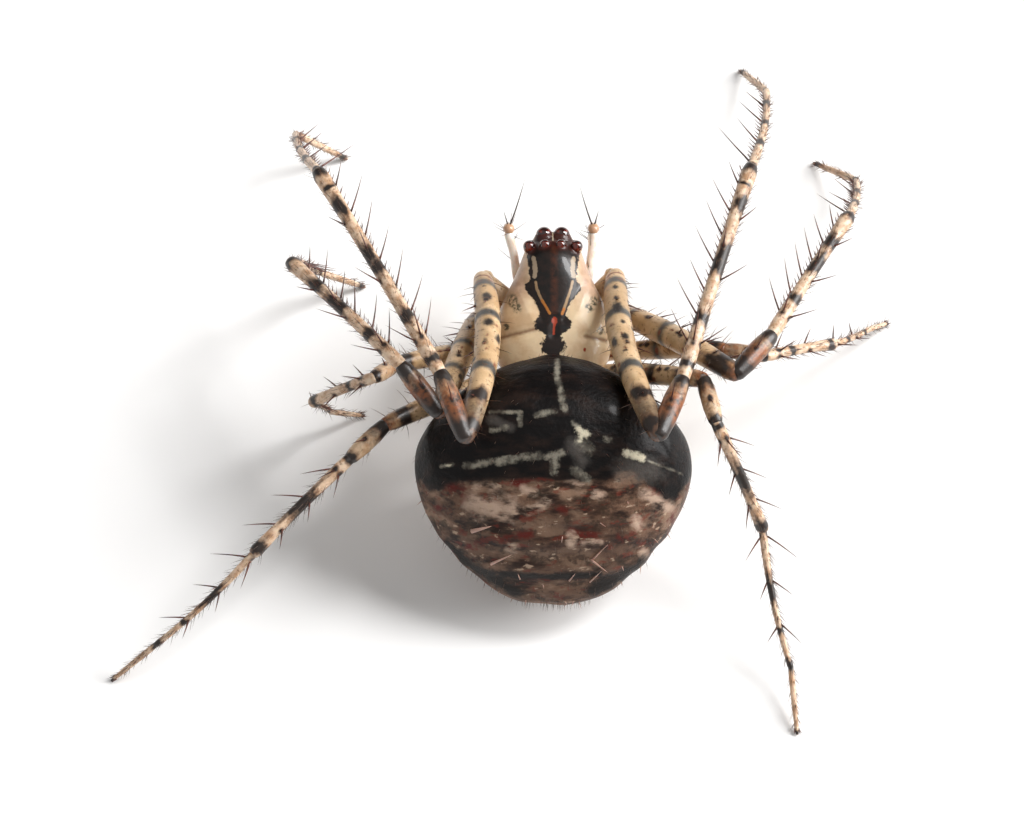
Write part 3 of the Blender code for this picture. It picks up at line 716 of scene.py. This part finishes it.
def buildLeg(side, pair, cuticle, horn, seta):
    line = legLine(side, pair)
    points, faces, marks = [], [], {}
    spines, setae = newHairs(), newHairs()
    rows, sides = leg["rows"], leg["sides"]
    angle = np.linspace(0, fullTurn, sides, endpoint=False)
    ease = 0.5 * (1 + np.sin(np.linspace(-math.pi / 2, math.pi / 2, rows)))
    t = leg["evenness"] * np.linspace(0, 1, rows) + (1 - leg["evenness"]) * ease
    for order, part in enumerate(leg["parts"]):
        start, end = line[order], line[order + 1]
        along, across, up = pieceFrame(start, end, side)
        length = np.linalg.norm(end - start)
        lead = leg["lead"] * min(1, length)
        lift, rear = bowAt(part, pair, length, t)
        middle = start - along * lead + along[None] * ((length + 2 * lead) * t)[:, None]
        middle = middle + up * lift[:, None] - across * rear[:, None]
        ring = up[None] * np.cos(angle)[:, None] + across[None] * np.sin(angle)[:, None]
        points.append(closeGrid(middle[:, None] + ring[None] * radiusAt(part, pair, t)[:, None, None]))
        faces += gridFaces(rows, sides, order * (rows * sides + 2))

        plan = planSpines(part, pair)
        for key, values in paintPart(side, pair, part, length, t, angle, plan).items():
            marks.setdefault(key, []).extend([values, values[:1], values[-1:]])
        piece = {"part": part, "pair": pair, "order": order, "start": start, "along": along,
                 "across": across, "up": up, "length": length}
        for where, turn, size, thick, lean, _ in plan:
            addLegHair(spines, piece, where, turn, size, thick, lean)
        addFineHairs(setae, piece)
    addFoot(spines, line, side)
    name = "leg%d%s" % (pair, side.capitalize())
    stands = ["leg_%d_%s_%s" % (pair, side, part) for part in leg["parts"] if part != "patella"]
    makeMesh(name + "Skin", np.concatenate(points), faces, cuticle,
             {key: np.concatenate(values) for key, values in marks.items()}, stands)
    hairMesh(name + "Spines", spines, horn, sides=6, levels=7, bend=0.1)
    hairMesh(name + "Setae", setae, seta, bend=0.18)


def buildLegs():
    cuticle, horn = makeFinish("legCuticle", legCuticle), makeFinish("spineHorn", spineHorn)
    seta = hairHorn("legSeta", "#2c1a12", "#6a4a34")
    for side, pair in leg["pose"]:
        buildLeg(side, pair, cuticle, horn, seta)
    print("legs ready")


# Carapace and eyes

carapace = {
    "rows": 260, "sides": 260,
    "rings": ((0.1, 0.28, 1.79, 1.88, 1.7), (0.3, 0.6, 1.76, 2.02, 1.62), (0.65, 0.83, 1.76, 2.18, 1.57),
              (1.0, 0.9, 1.78, 2.3, 1.56), (1.28, 0.88, 1.82, 2.37, 1.58), (1.6, 0.78, 1.89, 2.45, 1.6),
              (1.9, 0.63, 1.97, 2.53, 1.66), (2.15, 0.52, 2.05, 2.56, 1.74), (2.36, 0.44, 2.11, 2.5, 1.84),
              (2.5, 0.35, 2.16, 2.41, 1.94), (2.59, 0.24, 2.22, 2.36, 2.06), (2.61, 0.06, 2.21, 2.25, 2.17)),
    # the swelling that carries a front eye: side, ahead, up, radius
    "swelling": (0.125, 2.51, 2.31, 0.15),
    # marks stop at a height that rises towards the head: ahead, height
    "upperEdge": ((0.1, 1.0, 1.9, 2.5), (1.8, 1.86, 2.0, 2.1)),
    # half width of the black middle band as (climb, half width)
    "band": ((0.77, 0.0), (0.8, 0.06), (0.85, 0.12), (0.89, 0.17), (0.97, 0.19), (1.03, 0.17),
             (1.11, 0.12), (1.15, 0.13), (1.2, 0.22), (1.26, 0.275), (1.34, 0.285), (1.39, 0.24),
             (1.43, 0.205), (1.49, 0.205), (1.57, 0.235), (1.68, 0.3), (1.77, 0.38), (1.83, 0.42),
             (1.88, 0.435), (1.92, 0.42), (1.96, 0.37), (2.0, 0.35), (2.11, 0.37), (2.26, 0.385),
             (2.4, 0.41), (2.5, 0.44), (2.95, 0.46)),
    # how soft its edges are as (climbs, widths): more ragged towards the waist
    "bandEdge": ((1.15, 1.45), (0.3, 0.14)),
    # the climb at which the head starts, and how strong the streaks are
    "headStart": 1.45, "streakStrength": 0.75,
    # tan flanks of the head: (start, slope, most) up the back, and out to the side
    "flank": ((1.45, 2.2, 0.9), (0.25, 4)),
    # the brown middle line's place and half width; how far the wine red round an eye
    # reaches, in eye radii, and how strong it gets
    "middleLine": (0.02, 0.06), "wineReach": 1.8, "wineMost": 0.9,
    # grooves beside the head, as the marks are drawn
    "headGroove": ((0.16, 1.38), (0.42, 1.9)),
    # depth and reach of the grooves
    "grooves": {"fovea": (0.03, 0.1), "furrow": (0.025, 0.12), "head": (0.035, 0.14)},
    # soft spots as (centre, half size)
    "foveaSpot": ((0.023, 1.355), (0.045, 0.055)),
    "speckles": (((-0.62, 1.66), (0.075, 0.1)), ((-0.55, 1.55), (0.07, 0.07)), ((0.63, 1.64), (0.07, 0.08)),
                 ((0.58, 1.56), (0.08, 0.07)), ((-0.72, 1.262), (0.05, 0.05)), ((0.73, 1.21), (0.06, 0.06))),
    "redSpeck": ((0.486, 0.91), (0.022, 0.035)),
}

# painted marks, each a half width and the line of (right, climb) that it follows
carapaceMarks = {
    "patch": ((0.033, (-0.3, 2.32), (-0.28, 2.22), (-0.27, 2.12), (-0.285, 2.04)),
              (0.033, (0.315, 2.31), (0.305, 2.2), (0.3, 2.12), (0.32, 2.04)), (0.011, (0, 2.76), (0, 2.6))),
    "sandy": ((0.02, (-0.265, 1.95), (-0.254, 1.87), (-0.215, 1.76), (-0.16, 1.655)),
              (0.02, (0.3, 1.96), (0.28, 1.87), (0.228, 1.71), (0.17, 1.54))),
    "amber": ((0.02, (-0.17, 1.67), (-0.11, 1.57), (-0.05, 1.47)), (0.02, (0.17, 1.54), (0.14, 1.46))),
    "red": ((0.02, (0.02, 1.4), (0.03, 1.33), (0.015, 1.24), (0.008, 1.15)),),
    "streak": ((0.035, (-0.8, 1.095), (-0.27, 1.224)), (0.035, (0.5, 1.117), (0.87, 1.04))),
}

# right-hand eyes: side, ahead, up, radius
eyes = {"front_middle": (0.135, 2.57, 2.35, 0.126), "rear_middle": (0.12, 2.33, 2.49, 0.085),
        "front_side": (0.34, 2.46, 2.21, 0.085), "rear_side": (0.365, 2.34, 2.41, 0.095)}

# hard polished tan cuticle with a brown-black band down the middle: a clear gloss
# over colour that has soft freckles in it
carapaceCuticle = {
    "shader": {"Roughness": 0.38, "IOR": 1.5, "Subsurface Weight": 0.15, "Subsurface Radius": (1.0, 0.6, 0.35),
               "Subsurface Scale": 0.12 * mm, "Specular IOR Level": 0.3, "Coat Weight": 0.27,
               "Coat Roughness": 0.09},
    "patterns": {"fine": (0.045, 5, 0.55), "grain": (0.12, 4, 0.55), "broad": (0.4, 4, 0.55),
                 "pits": (0.05, 4, 0.55), "fray": (0.06, 5, 0.65)},
    "colour": [
        "#e6cda8", ("#d2b28c", ("broad", 0.38, 0.62)),
        (["#c4a289", ("#ab8a74", ("grain", 0.35, 0.65))], "flank"),
        ("#8f6c50", ("streak", "fine", 0.4, 0.35)),
        ("#5b5542", ("speckle", "grain", 1.2, 0.35), ("pits", 0.36, 0.6)),
        # the black band, brown along its middle and wine red round the eyes
        (["#0d0603", ("#1d0f09", ("grain", 0.4, 0.6)), ("#43200f", "middle", ("grain", 0.25, 0.65)),
          ("#471509", "wine")], ("dark", "fray", 0.95, 0.07)),
        ("#a08d76", ("patch", "fine", 0.8, 0.12)),
        ("#a08260", ("sandy", "fine", 0.6, 0.2)),
        ("#b4702e", ("amber", "fine", 0.5, 0.2)),
        ("#a0391e", ("red", "fine", 0.5, 0.2)),
    ],
    "relief": (0.25, 0.012, {"pits": 1.0}),
}

# wet, dark red lens: mirror smooth, its red a little lighter in soft patches
eyeLens = {
    "shader": {"Roughness": 0.05, "IOR": 1.5, "Coat Weight": 1.0, "Coat Roughness": 0.02},
    "patterns": {"tone": (0.09, 2, 0.55), "ripple": (0.05, 2, 0.55)},
    "colour": ["#260a06", ("#742412", ("tone", 0.4, 0.65))],
    "relief": (0.05, 0.002, {"ripple": 1.0}),
}


def gridNormals(grid):
    alongRows = np.gradient(grid, axis=0)
    around = np.roll(grid, -1, axis=1) - np.roll(grid, 1, axis=1)
    normals = unit(np.cross(around, alongRows))
    middle = grid.mean(axis=1, keepdims=True)
    return normals * np.sign(((grid - middle) * normals).sum(-1, keepdims=True).mean())


def domeLift(grid, normals, centre, radius, blend=0.05):
    # how far the skin rises to reach a ball, softened at the ball's foot
    gap = np.asarray(centre) - grid
    along = (gap * normals).sum(-1)
    off = np.sqrt(np.maximum((gap ** 2).sum(-1) - along ** 2, 0))
    rise = along + np.sqrt(np.maximum(radius ** 2 - off ** 2, 0)) - 2.5 * np.maximum(off - radius, 0)
    return 0.5 * (rise + np.sqrt(rise ** 2 + blend ** 2)) - 0.02 * blend


def shapeCarapace():
    grid = ringGrid(carapace["rings"], carapace["rows"], carapace["sides"])
    u, v = climbPlan(grid)
    outward = gridNormals(grid)
    # each eye sits in a low mount of the skin
    domes = [(side, ahead - 0.02, up - 0.03, 0.88 * radius) for side, ahead, up, radius in eyes.values()]
    lift = np.zeros(u.shape)
    for side, ahead, up, radius in domes + [carapace["swelling"]]:
        for sign in (-1, 1):
            rise = domeLift(grid, outward, (sign * side, ahead, up), radius)
            lift = np.maximum(lift, np.where(grid[..., 1] > 2.0, rise, 0))
    top = ramp(outward[..., 2], 0, 3)
    grooves = [("fovea", line) for _, *line in carapaceMarks["red"]]
    grooves += [("furrow", line) for _, *line in carapaceMarks["streak"]]
    grooves += [("head", mirrored(carapace["headGroove"], sign)) for sign in (-1, 1)]
    for name, line in grooves:
        depth, reach = carapace["grooves"][name]
        lift -= depth * stroke(u, v, line, reach) * top
    return closeGrid(grid + outward * lift[..., None])


def paintCarapace(points):
    u, v = climbPlan(points)
    upper = ramp(points[:, 2], np.interp(points[:, 1], *carapace["upperEdge"]), 12)
    climbs, halves = np.array(carapace["band"]).T
    half = np.interp(v, climbs, halves)
    soft = np.interp(v, *carapace["bandEdge"])
    wine = np.zeros_like(u)
    for side, ahead, up, radius in eyes.values():
        for sign in (-1, 1):
            far = np.linalg.norm(points - np.array([sign * side, ahead, up]), axis=-1)
            wine = np.maximum(wine, np.clip(carapace["wineReach"] - far / radius, 0, carapace["wineMost"]))
    marks = {key: drawLines(u, v, lines) for key, lines in carapaceMarks.items()}
    red = strongest([marks["red"], blot(u, v, *carapace["foveaSpot"]), blot(u, v, *carapace["redSpeck"])])
    marks["red"] = np.where(red > 0.4, red, 0)
    marks["streak"] *= carapace["streakStrength"]
    marks["speckle"] = np.clip(2 * strongest([blot(u, v, *spot) for spot in carapace["speckles"]]) - 0.5, 0, 1)
    marks["dark"] = np.clip(0.5 + (half - np.abs(u)) / soft, 0, 1) * (half > 0.01)
    place, width = carapace["middleLine"]
    marks["middle"] = np.clip(1.25 - np.abs(u - place) / width, 0, 1) * (v > carapace["headStart"])
    marks = {key: values * upper for key, values in marks.items()}
    marks["wine"] = wine
    upward, outward = carapace["flank"]
    marks["flank"] = ramp(v, *upward) * ramp(np.abs(u), *outward)
    return marks


def buildCarapace():
    points = shapeCarapace()
    cuticle = makeFinish("carapaceCuticle", carapaceCuticle)
    makeMesh("carapaceShell", points, gridFaces(carapace["rows"], carapace["sides"]), cuticle,
             paintCarapace(points), ["carapace"])
    lens = makeFinish("eyeLens", eyeLens)
    for name, (across, ahead, up, radius) in eyes.items():
        for side, sign in sideSigns.items():
            bpy.ops.mesh.primitive_uv_sphere_add(segments=48, ring_count=32, radius=radius * mm)
            ball = bpy.context.object
            ball.name = "eye" + "".join(word.capitalize() for word in name.split("_")) + side.capitalize()
            ball.location = Vector(toWorld((sign * across, ahead, up)))
            bpy.ops.object.shade_smooth()
            ball.data.materials.append(lens)
            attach(ball, "root")
            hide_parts("eye_%s_%s" % (name, side))
    print("carapace ready")


# Abdomen

abdomen = {
    "rows": 300, "sides": 320, "centre": (0, -1.2, 1.8),
    "rings": ((-2.94, 0.1, 0.82, 0.86, 0.78), (-2.93, 0.36, 0.82, 0.92, 0.72), (-2.84, 0.74, 0.88, 1.18, 0.6),
              (-2.58, 1.18, 1.05, 1.7, 0.48), (-2.15, 1.67, 1.34, 2.34, 0.42), (-1.62, 2.01, 1.64, 2.84, 0.48),
              (-1.1, 2.12, 1.82, 3.12, 0.66), (-0.6, 1.92, 2.02, 3.22, 1.0), (-0.1, 1.36, 2.28, 3.1, 1.58),
              (0.2, 0.82, 2.46, 2.86, 2.14), (0.34, 0.34, 2.54, 2.7, 2.4), (0.36, 0.1, 2.54, 2.6, 2.48)),
    # rear edge of the black front, as (right, climb)
    "blackEdge": ((-2.2, -1.05), (-2.07, -1.1), (-1.76, -1.26), (-1.62, -1.14), (-1.1, -1.1), (-0.66, -1.04),
                  (-0.16, -1.07), (0.47, -1.1), (0.79, -1.1), (1.04, -0.95), (1.2, -0.95), (1.41, -1.13),
                  (1.7, -1.38), (1.85, -1.42), (2.04, -1.14), (2.2, -1.05)),
    # where the folds of the rear start, and how deep these and the waves are
    "foldStart": 1.5, "depth": 0.012,
    # a hair's length, radius and how far it strays from the flow of the others
    "hairs": 420, "hairLengths": (0.06, 0.14), "hairRadii": (0.003, 0.005), "hairStray": 0.3,
    "smallStubs": 22, "smallStubLengths": (0.08, 0.15), "smallStubRadius": 0.009,
    # pale stubby hairs behind: root, tip, radius
    "stubs": (((-1.24, -1.87), (-0.9, -1.78), 0.04), ((-0.95, -2.36), (-0.6, -2.2), 0.028),
              ((0.6, -2.29), (0.86, -2.03), 0.016), ((0.58, -2.29), (0.86, -2.5), 0.02),
              ((0.25, -2.62), (0.38, -2.46), 0.016), ((0.55, -2.64), (0.76, -2.44), 0.016),
              ((-0.5, -2.6), (-0.56, -2.46), 0.012)),
}

# painted marks, as on the carapace
abdomenMarks = {
    "pale": ((0.036, (0.055, 0.72), (0.05, 0.6), (0.06, 0.5), (0.09, 0.34), (0.125, 0.21), (0.14, 0.06),
              (0.17, -0.02)),
             (0.022, (-0.96, -0.04), (-0.5, -0.05)), (0.028, (-0.52, -0.06), (-0.51, -0.24)),
             (0.034, (-0.27, -0.09), (0.0, -0.03)), (0.032, (-0.93, -0.32), (-0.72, -0.28)),
             (0.022, (-1.7, -0.87), (-1.52, -0.84)), (0.04, (-1.33, -0.86), (-0.97, -0.8)),
             (0.045, (-0.86, -0.8), (-0.2, -0.7)), (0.04, (-0.1, -0.72), (0.12, -0.66)),
             (0.045, (0.02, -0.76), (0.0, -0.95)), (0.07, (0.4, -0.5), (0.52, -0.62)),
             (0.014, (1.44, -0.79), (1.96, -0.99)), (0.03, (0.3, -0.2), (0.38, -0.3)),
             (0.04, (0.8, -0.45), (0.84, -0.46)), (0.05, (0.3, -0.92), (0.52, -1.08))),
    "bright": ((0.05, (0.38, -0.32), (0.5, -0.38)), (0.03, (0.42, -0.4), (0.4, -0.48)),
               (0.05, (1.1, -0.66), (1.34, -0.74)), (0.015, (-1.64, -0.86), (-1.56, -0.85))),
    # grey patches on the black front are painted sheen, where the wet skin shines towards the camera
    "grey": ((0.16, (1.1, -0.9), (1.5, -0.96)), (0.1, (0.3, -0.55), (0.45, -0.78)),
             (0.06, (-0.95, -0.16), (-0.65, -0.28))),
    "cream": ((0.07, (0.24, -1.04), (0.41, -1.2)), (0.16, (-1.15, -1.44), (-0.7, -1.52)),
              (0.06, (-0.6, -1.6), (-0.25, -1.5), (-0.06, -1.38)), (0.1, (-1.1, -1.2), (-0.95, -1.3)),
              (0.07, (-0.64, -2.1), (-0.6, -2.1)), (0.06, (0.27, -1.92), (0.27, -2.04)),
              (0.035, (0.45, -2.04), (0.72, -2.02)), (0.07, (1.24, -1.7), (1.28, -1.76)),
              (0.06, (1.38, -2.2), (1.42, -2.3)), (0.06, (0.62, -1.27), (0.72, -1.3)),
              (0.05, (-0.45, -1.2), (-0.3, -1.26)), (0.08, (1.4, -1.28), (1.75, -1.5))),
    "red": ((0.1, (-1.52, -1.16), (-1.36, -1.27)), (0.07, (-0.55, -1.12), (-0.15, -1.12)),
            (0.05, (-0.8, -1.98), (-0.35, -1.9)), (0.05, (-1.75, -1.5), (-1.62, -1.56)),
            (0.06, (0.25, -1.86), (0.7, -1.97)), (0.09, (1.5, -1.27), (1.62, -1.3)),
            (0.06, (1.79, -1.6), (1.79, -1.68)), (0.05, (1.0, -1.95), (1.12, -2.02)),
            (0.05, (-1.3, -2.1), (-1.1, -2.04)), (0.05, (0.0, -1.48), (0.2, -1.55)),
            (0.04, (-0.45, -2.56), (-0.15, -2.58)), (0.04, (0.1, -2.58), (0.4, -2.56))),
    # the darker lower middle
    "gloom": ((0.28, (-0.4, -2.1), (0.8, -2.15)), (0.22, (0.1, -1.75), (0.6, -1.8))),
    "edge": ((0.055, (-0.8, -2.52), (0.03, -2.56), (0.7, -2.52)),
             (0.12, (-1.35, -2.36), (-0.86, -2.62), (-0.58, -2.8)),
             (0.13, (0.62, -2.78), (1.0, -2.62), (1.42, -2.36)), (0.06, (-1.62, -2.06), (-1.35, -2.3))),
}

# soft, slightly greasy skin, black with pale flecks in front and marbled behind:
# little gloss, folds that run across, and grain that is wider than it is tall
foldStretch = (0.55, 1.25, 1.25)
abdomenSkin = {
    "shader": {"Roughness": 0.45, "IOR": 1.4, "Specular IOR Level": 0.2, "Coat Weight": 0.1,
               "Coat Roughness": 0.15, "Subsurface Weight": 0.05, "Subsurface Scale": 0.1 * mm},
    "patterns": {"fine": (0.055, 5, 0.55), "medium": (0.2, 5, 0.62), "folds": (0.24, 5, 0.6, foldStretch),
                 "blotch": (0.42, 4, 0.55, foldStretch), "vein": (0.2, 5, 0.65, foldStretch),
                 "fleck": (0.12, 4, 0.55, foldStretch), "crumb": (0.1, 5, 0.7), "cloud": (0.22, 3, 0.55)},
    "colour": [
        "#291b15", ("#6b5141", ("folds", 0.38, 0.62)),
        ("#876c59", ("blotch", 0.5, 0.66)),
        ("#33281e", ("medium", 0.52, 0.64), 0.75),
        ("#33201a", "gloom", 0.5),
        ("#6a2a1e", ("vein", 0.55, 0.63), 0.55),
        ("#5a1d16", ("red", "folds", 2.2, 0.5), ("medium", 0.42, 0.56)),
        ("#b59b88", ("cream", "medium", 1.9, 0.5), ("folds", 0.36, 0.56)),
        ("#b39a84", ("fleck", 0.62, 0.7), 0.75),
        ("#191310", ("edge", "medium", 1.2, 0.3)),
        (["#070404", ("#231712", ("folds", 0.42, 0.75))], ("dark", "folds", 1.3, 0.22)),
        # painted sheen: grey laid over the black front where it shines
        ("#4d4844", ("grey", "medium", 1.4, 0.5), 0.75),
        ("#847e71", ("pale", "crumb", 2.4, 0.55), ("cloud", 0.4, 0.58, 0.3)),
        ("#c4bba4", ("bright", "fine", 1.3, 0.35)),
    ],
    "relief": (0.6, 0.06, {"folds": 0.7, "fine": 0.3}),
}


def shapeAbdomen(centre):
    # low waves, and soft folds across the rear
    grid = ringGrid(abdomen["rings"], abdomen["rows"], abdomen["sides"])
    x, y, z = grid[..., 0], grid[..., 1], grid[..., 2]
    u, v = climbPlan(grid)
    waves = (np.sin(4.1 * x + 1.3) * np.sin(3.7 * y + 0.4)
             + 0.6 * np.sin(9.3 * x - 0.8) * np.sin(8.1 * z + 1.9)
             + 0.5 * np.sin(7.9 * y + 2.2 * x) * np.sin(8.7 * x + 0.5))
    folds = np.sin(v * 15 + 0.8 * np.cos(u * 2)) * ramp(-v, abdomen["foldStart"], 1.2)
    return closeGrid(grid + unit(grid - centre) * (abdomen["depth"] * (waves + folds))[..., None])


def addStubs(skin, plan, facing, slope, centre):
    hairs = newHairs()
    rows, sides = abdomen["rows"], abdomen["sides"]
    for root, tip, thick in abdomen["stubs"]:
        gap = np.hypot(plan[:, 0] - root[0], plan[:, 1] - root[1]) + np.where(facing > 0.6, 0, 9)
        du, dv = tip[0] - root[0], tip[1] - root[1]
        way = np.array([du, dv * math.sin(photoTilt), dv * math.cos(photoTilt)]) + 0.22 * slope
        growHair(hairs, skin[np.argmin(gap)], unit(way), math.hypot(du, dv) * 1.08, thick, patch=(0.5, 0.5))
    for pick in rng.choice(np.flatnonzero(plan[:, 1] < -1.3), abdomen["smallStubs"], replace=False):
        out = unit(skin[pick] - centre)
        way = unit(out + np.array([rng.uniform(-0.9, 0.9), -0.5, rng.uniform(-0.5, 0.3)]))
        growHair(hairs, skin[pick] - out * 0.02, way, rng.uniform(*abdomen["smallStubLengths"]),
                 abdomen["smallStubRadius"], patch=((pick % sides) / sides, (pick // sides) / rows))
    horn = hairHorn("paleStub", "#c9a594", "#a87e70")
    hairMesh("abdomenStubs", hairs, horn, sides=6, levels=6)


def addAbdomenHairs(skin, centre):
    count, rows, sides = abdomen["hairs"], abdomen["rows"], abdomen["sides"]
    picks = rng.choice(len(skin), count, replace=False)
    out = unit(skin[picks] - centre)
    stray = rng.uniform(-abdomen["hairStray"], abdomen["hairStray"], out.shape)
    hairs = {"roots": skin[picks] - out * 0.01,
             "ways": unit(out + np.array([0, -0.8, -0.2]) + stray),
             "lengths": rng.uniform(*abdomen["hairLengths"], count),
             "radii": rng.uniform(*abdomen["hairRadii"], count),
             "leans": np.tile([0, -1.0, -0.3], (count, 1)),
             "patches": np.stack([(picks % sides) / sides, (picks // sides) / rows], 1)}
    hairMesh("abdomenSetae", hairs, hairHorn("bodySeta", "#2e2019", "#7a6252"), bend=0.2)


def buildAbdomen():
    rows, sides = abdomen["rows"], abdomen["sides"]
    centre = np.array(abdomen["centre"])
    points = shapeAbdomen(centre)
    u, v = climbPlan(points)
    # marks are only on the side that faces the camera
    slope = np.array([0, -math.cos(photoTilt), math.sin(photoTilt)])
    facing = np.clip(unit(points - centre) @ slope * 6 + 1.0, 0, 1)
    edgeRight, edgeClimb = np.array(abdomen["blackEdge"]).T
    marks = {"dark": np.clip(0.5 + (v - np.interp(u, edgeRight, edgeClimb)) / 0.3, 0, 1) * facing}
    for key, lines in abdomenMarks.items():
        marks[key] = drawLines(u, v, lines) * facing
    makeMesh("abdomenSkin", points, gridFaces(rows, sides), makeFinish("abdomenSkin", abdomenSkin),
             marks, ["abdomen"])
    grid = slice(rows * sides)
    addStubs(points[grid], np.stack([u, v], 1)[grid], facing[grid], slope, centre)
    addAbdomenHairs(points[grid], centre)
    print("abdomen ready")


# Underside, mouth, palps and spinnerets. Stops are (right, ahead, up, radius).

mouth = {
    "jaw": ((0.19, 2.25, 1.8, 0.09), (0.19, 2.27, 1.72, 0.155), (0.195, 2.3, 1.55, 0.165),
            (0.21, 2.36, 1.32, 0.15), (0.225, 2.41, 1.14, 0.115), (0.23, 2.42, 1.07, 0.05)),
    "fang": ((0.22, 2.42, 1.1, 0.045), (0.17, 2.39, 1.02, 0.038), (0.1, 2.34, 0.97, 0.024),
             (0.05, 2.3, 0.97, 0.006)),
    "blade": ((0.08, 1.72, 1.42, 0.05), (0.1, 1.8, 1.41, 0.11), (0.14, 1.95, 1.4, 0.12),
              (0.155, 2.05, 1.4, 0.085), (0.16, 2.1, 1.4, 0.03)),
    "lip": ((0, 1.66, 1.4, 0.04), (0, 1.72, 1.39, 0.1), (0, 1.82, 1.38, 0.11), (0, 1.9, 1.37, 0.05)),
    # upright rings, as the carapace has
    "sternum": ((0.42, 0.12, 1.44, 1.49, 1.34), (0.65, 0.28, 1.44, 1.52, 1.25), (1.05, 0.34, 1.42, 1.52, 1.2),
                (1.4, 0.3, 1.42, 1.52, 1.22), (1.62, 0.2, 1.44, 1.52, 1.28)),
}


def buildMouth():
    brown = clearCuticle("jawCuticle", "#a87a4e", "#c9a272")
    cream = clearCuticle("lipCuticle", "#c8a67c", "#dcc29a")
    fangHorn = hairHorn("fangHorn", "#5a1e0e", "#2a0d08")
    for side, sign in sideSigns.items():
        name = side.capitalize()
        jaw, fang, blade = (mirrored(mouth[key], sign) for key in ("jaw", "fang", "blade"))
        tubeMesh("chelicera" + name, jaw, brown, ["chelicera_" + side])
        tubeMesh("fang" + name, fang, fangHorn, [], sides=16, count=30)
        tubeMesh("mouthBlade" + name, blade, cream, [])
    tubeMesh("lowerLip", mouth["lip"], cream, ["mouthparts"])
    rows, sides = 60, 64
    makeMesh("sternumPlate", closeGrid(ringGrid(mouth["sternum"], rows, sides)), gridFaces(rows, sides),
             clearCuticle("sternumCuticle", "#b8966a", "#d2b58a"), None, ["sternum"])


palps = {
    # how far out the knee stands, and the length of its long bristle
    "right": (0.63, 0.68), "left": (0.68, 0.8),
    "bristleRadius": 0.016, "shortBristle": 0.28, "bristleTurns": (-25, 18), "bristleRise": 32,
    "hairsPerPiece": 11, "hairLengths": (0.16, 0.34), "hairRadius": 0.0058,
}


def buildPalps():
    clear = clearCuticle("palpCuticle", "#f2e9df", "#e3cfba")
    dark = hairHorn("palpBristle", "#15100e", "#4a2c24")
    for side, sign in sideSigns.items():
        knee, longest = palps[side]
        name = side.capitalize()
        femur = mirrored(((0.32, 1.96, 1.46, 0.05), (0.4, 2.0, 1.54, 0.075), (0.54, 2.12, 1.72, 0.072),
                          (0.6, 2.45, 1.9, 0.066), (knee, 2.72, 2.04, 0.07), (knee, 2.78, 2.07, 0.03)), sign)
        tip = mirrored(((knee, 2.73, 2.06, 0.05), (knee, 2.8, 2.08, 0.088), (knee, 2.88, 1.99, 0.078),
                        (knee, 2.96, 1.8, 0.06), (knee, 3.01, 1.6, 0.062), (knee - 0.03, 3.03, 1.33, 0.056),
                        (knee - 0.05, 3.04, 1.1, 0.02)), sign)
        tubeMesh("palpFemur" + name, femur, clear, ["palp_femur_" + side], tinted=(0.93, 3))
        tubeMesh("palpTip" + name, tip, clear, ["palp_tip_" + side], tinted=(-1, 0.26))
        hairs, lean = newHairs(), (sign * 0.3, 0.2, 1.0)
        for turn, size in zip(palps["bristleTurns"], (longest, palps["shortBristle"])):
            way = heading(sign * turn, palps["bristleRise"])
            growHair(hairs, (sign * knee, 2.8, 2.1), way, size, palps["bristleRadius"], lean)
        for line in (femur, tip):
            rows = smoothStops(line, 40)
            for _ in range(palps["hairsPerPiece"]):
                row = rows[rng.integers(3, 37)]
                out = unit(rng.normal(size=3))
                growHair(hairs, row[:3] + out * row[3] * 0.9, unit(out + np.array([0, 0.8, 0.1])),
                         rng.uniform(*palps["hairLengths"]), palps["hairRadius"], lean)
        hairMesh("palpBristles" + name, hairs, dark, sides=5, levels=6, bend=0.12)
    print("mouth and palps ready")


rear = {
    "waist": ((0, 0.12, 1.79, 0.06), (0, 0.06, 1.79, 0.12), (0, -0.08, 1.8, 0.115), (0, -0.2, 1.82, 0.12)),
    # spinnerets: where each tip is from the middle of the group, and the stops of each
    # as (share of the way out, height, radius)
    "groupAhead": -2.28,
    "cones": ((0.1, 0.08), (-0.1, 0.08), (0.06, -0.02), (-0.06, -0.02), (0.11, -0.12), (-0.11, -0.12)),
    "coneStops": ((0.4, 0.44, 0.05), (0.6, 0.34, 0.066), (1.0, 0.22, 0.048), (1.15, 0.17, 0.02)),
}


def buildRear():
    waist = clearCuticle("waistCuticle", "#8a6a4a", "#a98a64")
    tubeMesh("pedicelTube", rear["waist"], waist, ["pedicel"])
    for order, (right, ahead) in enumerate(rear["cones"]):
        stops = [(out * right, rear["groupAhead"] + out * ahead, up, radius)
                 for out, up, radius in rear["coneStops"]]
        tubeMesh("spinneret%d" % (order + 1), stops, waist, [] if order else ["spinnerets"],
                 sides=18, count=26)
    print("rear ready")


buildStage()
buildLegs()
buildCarapace()
buildAbdomen()
buildMouth()
buildPalps()
buildRear()
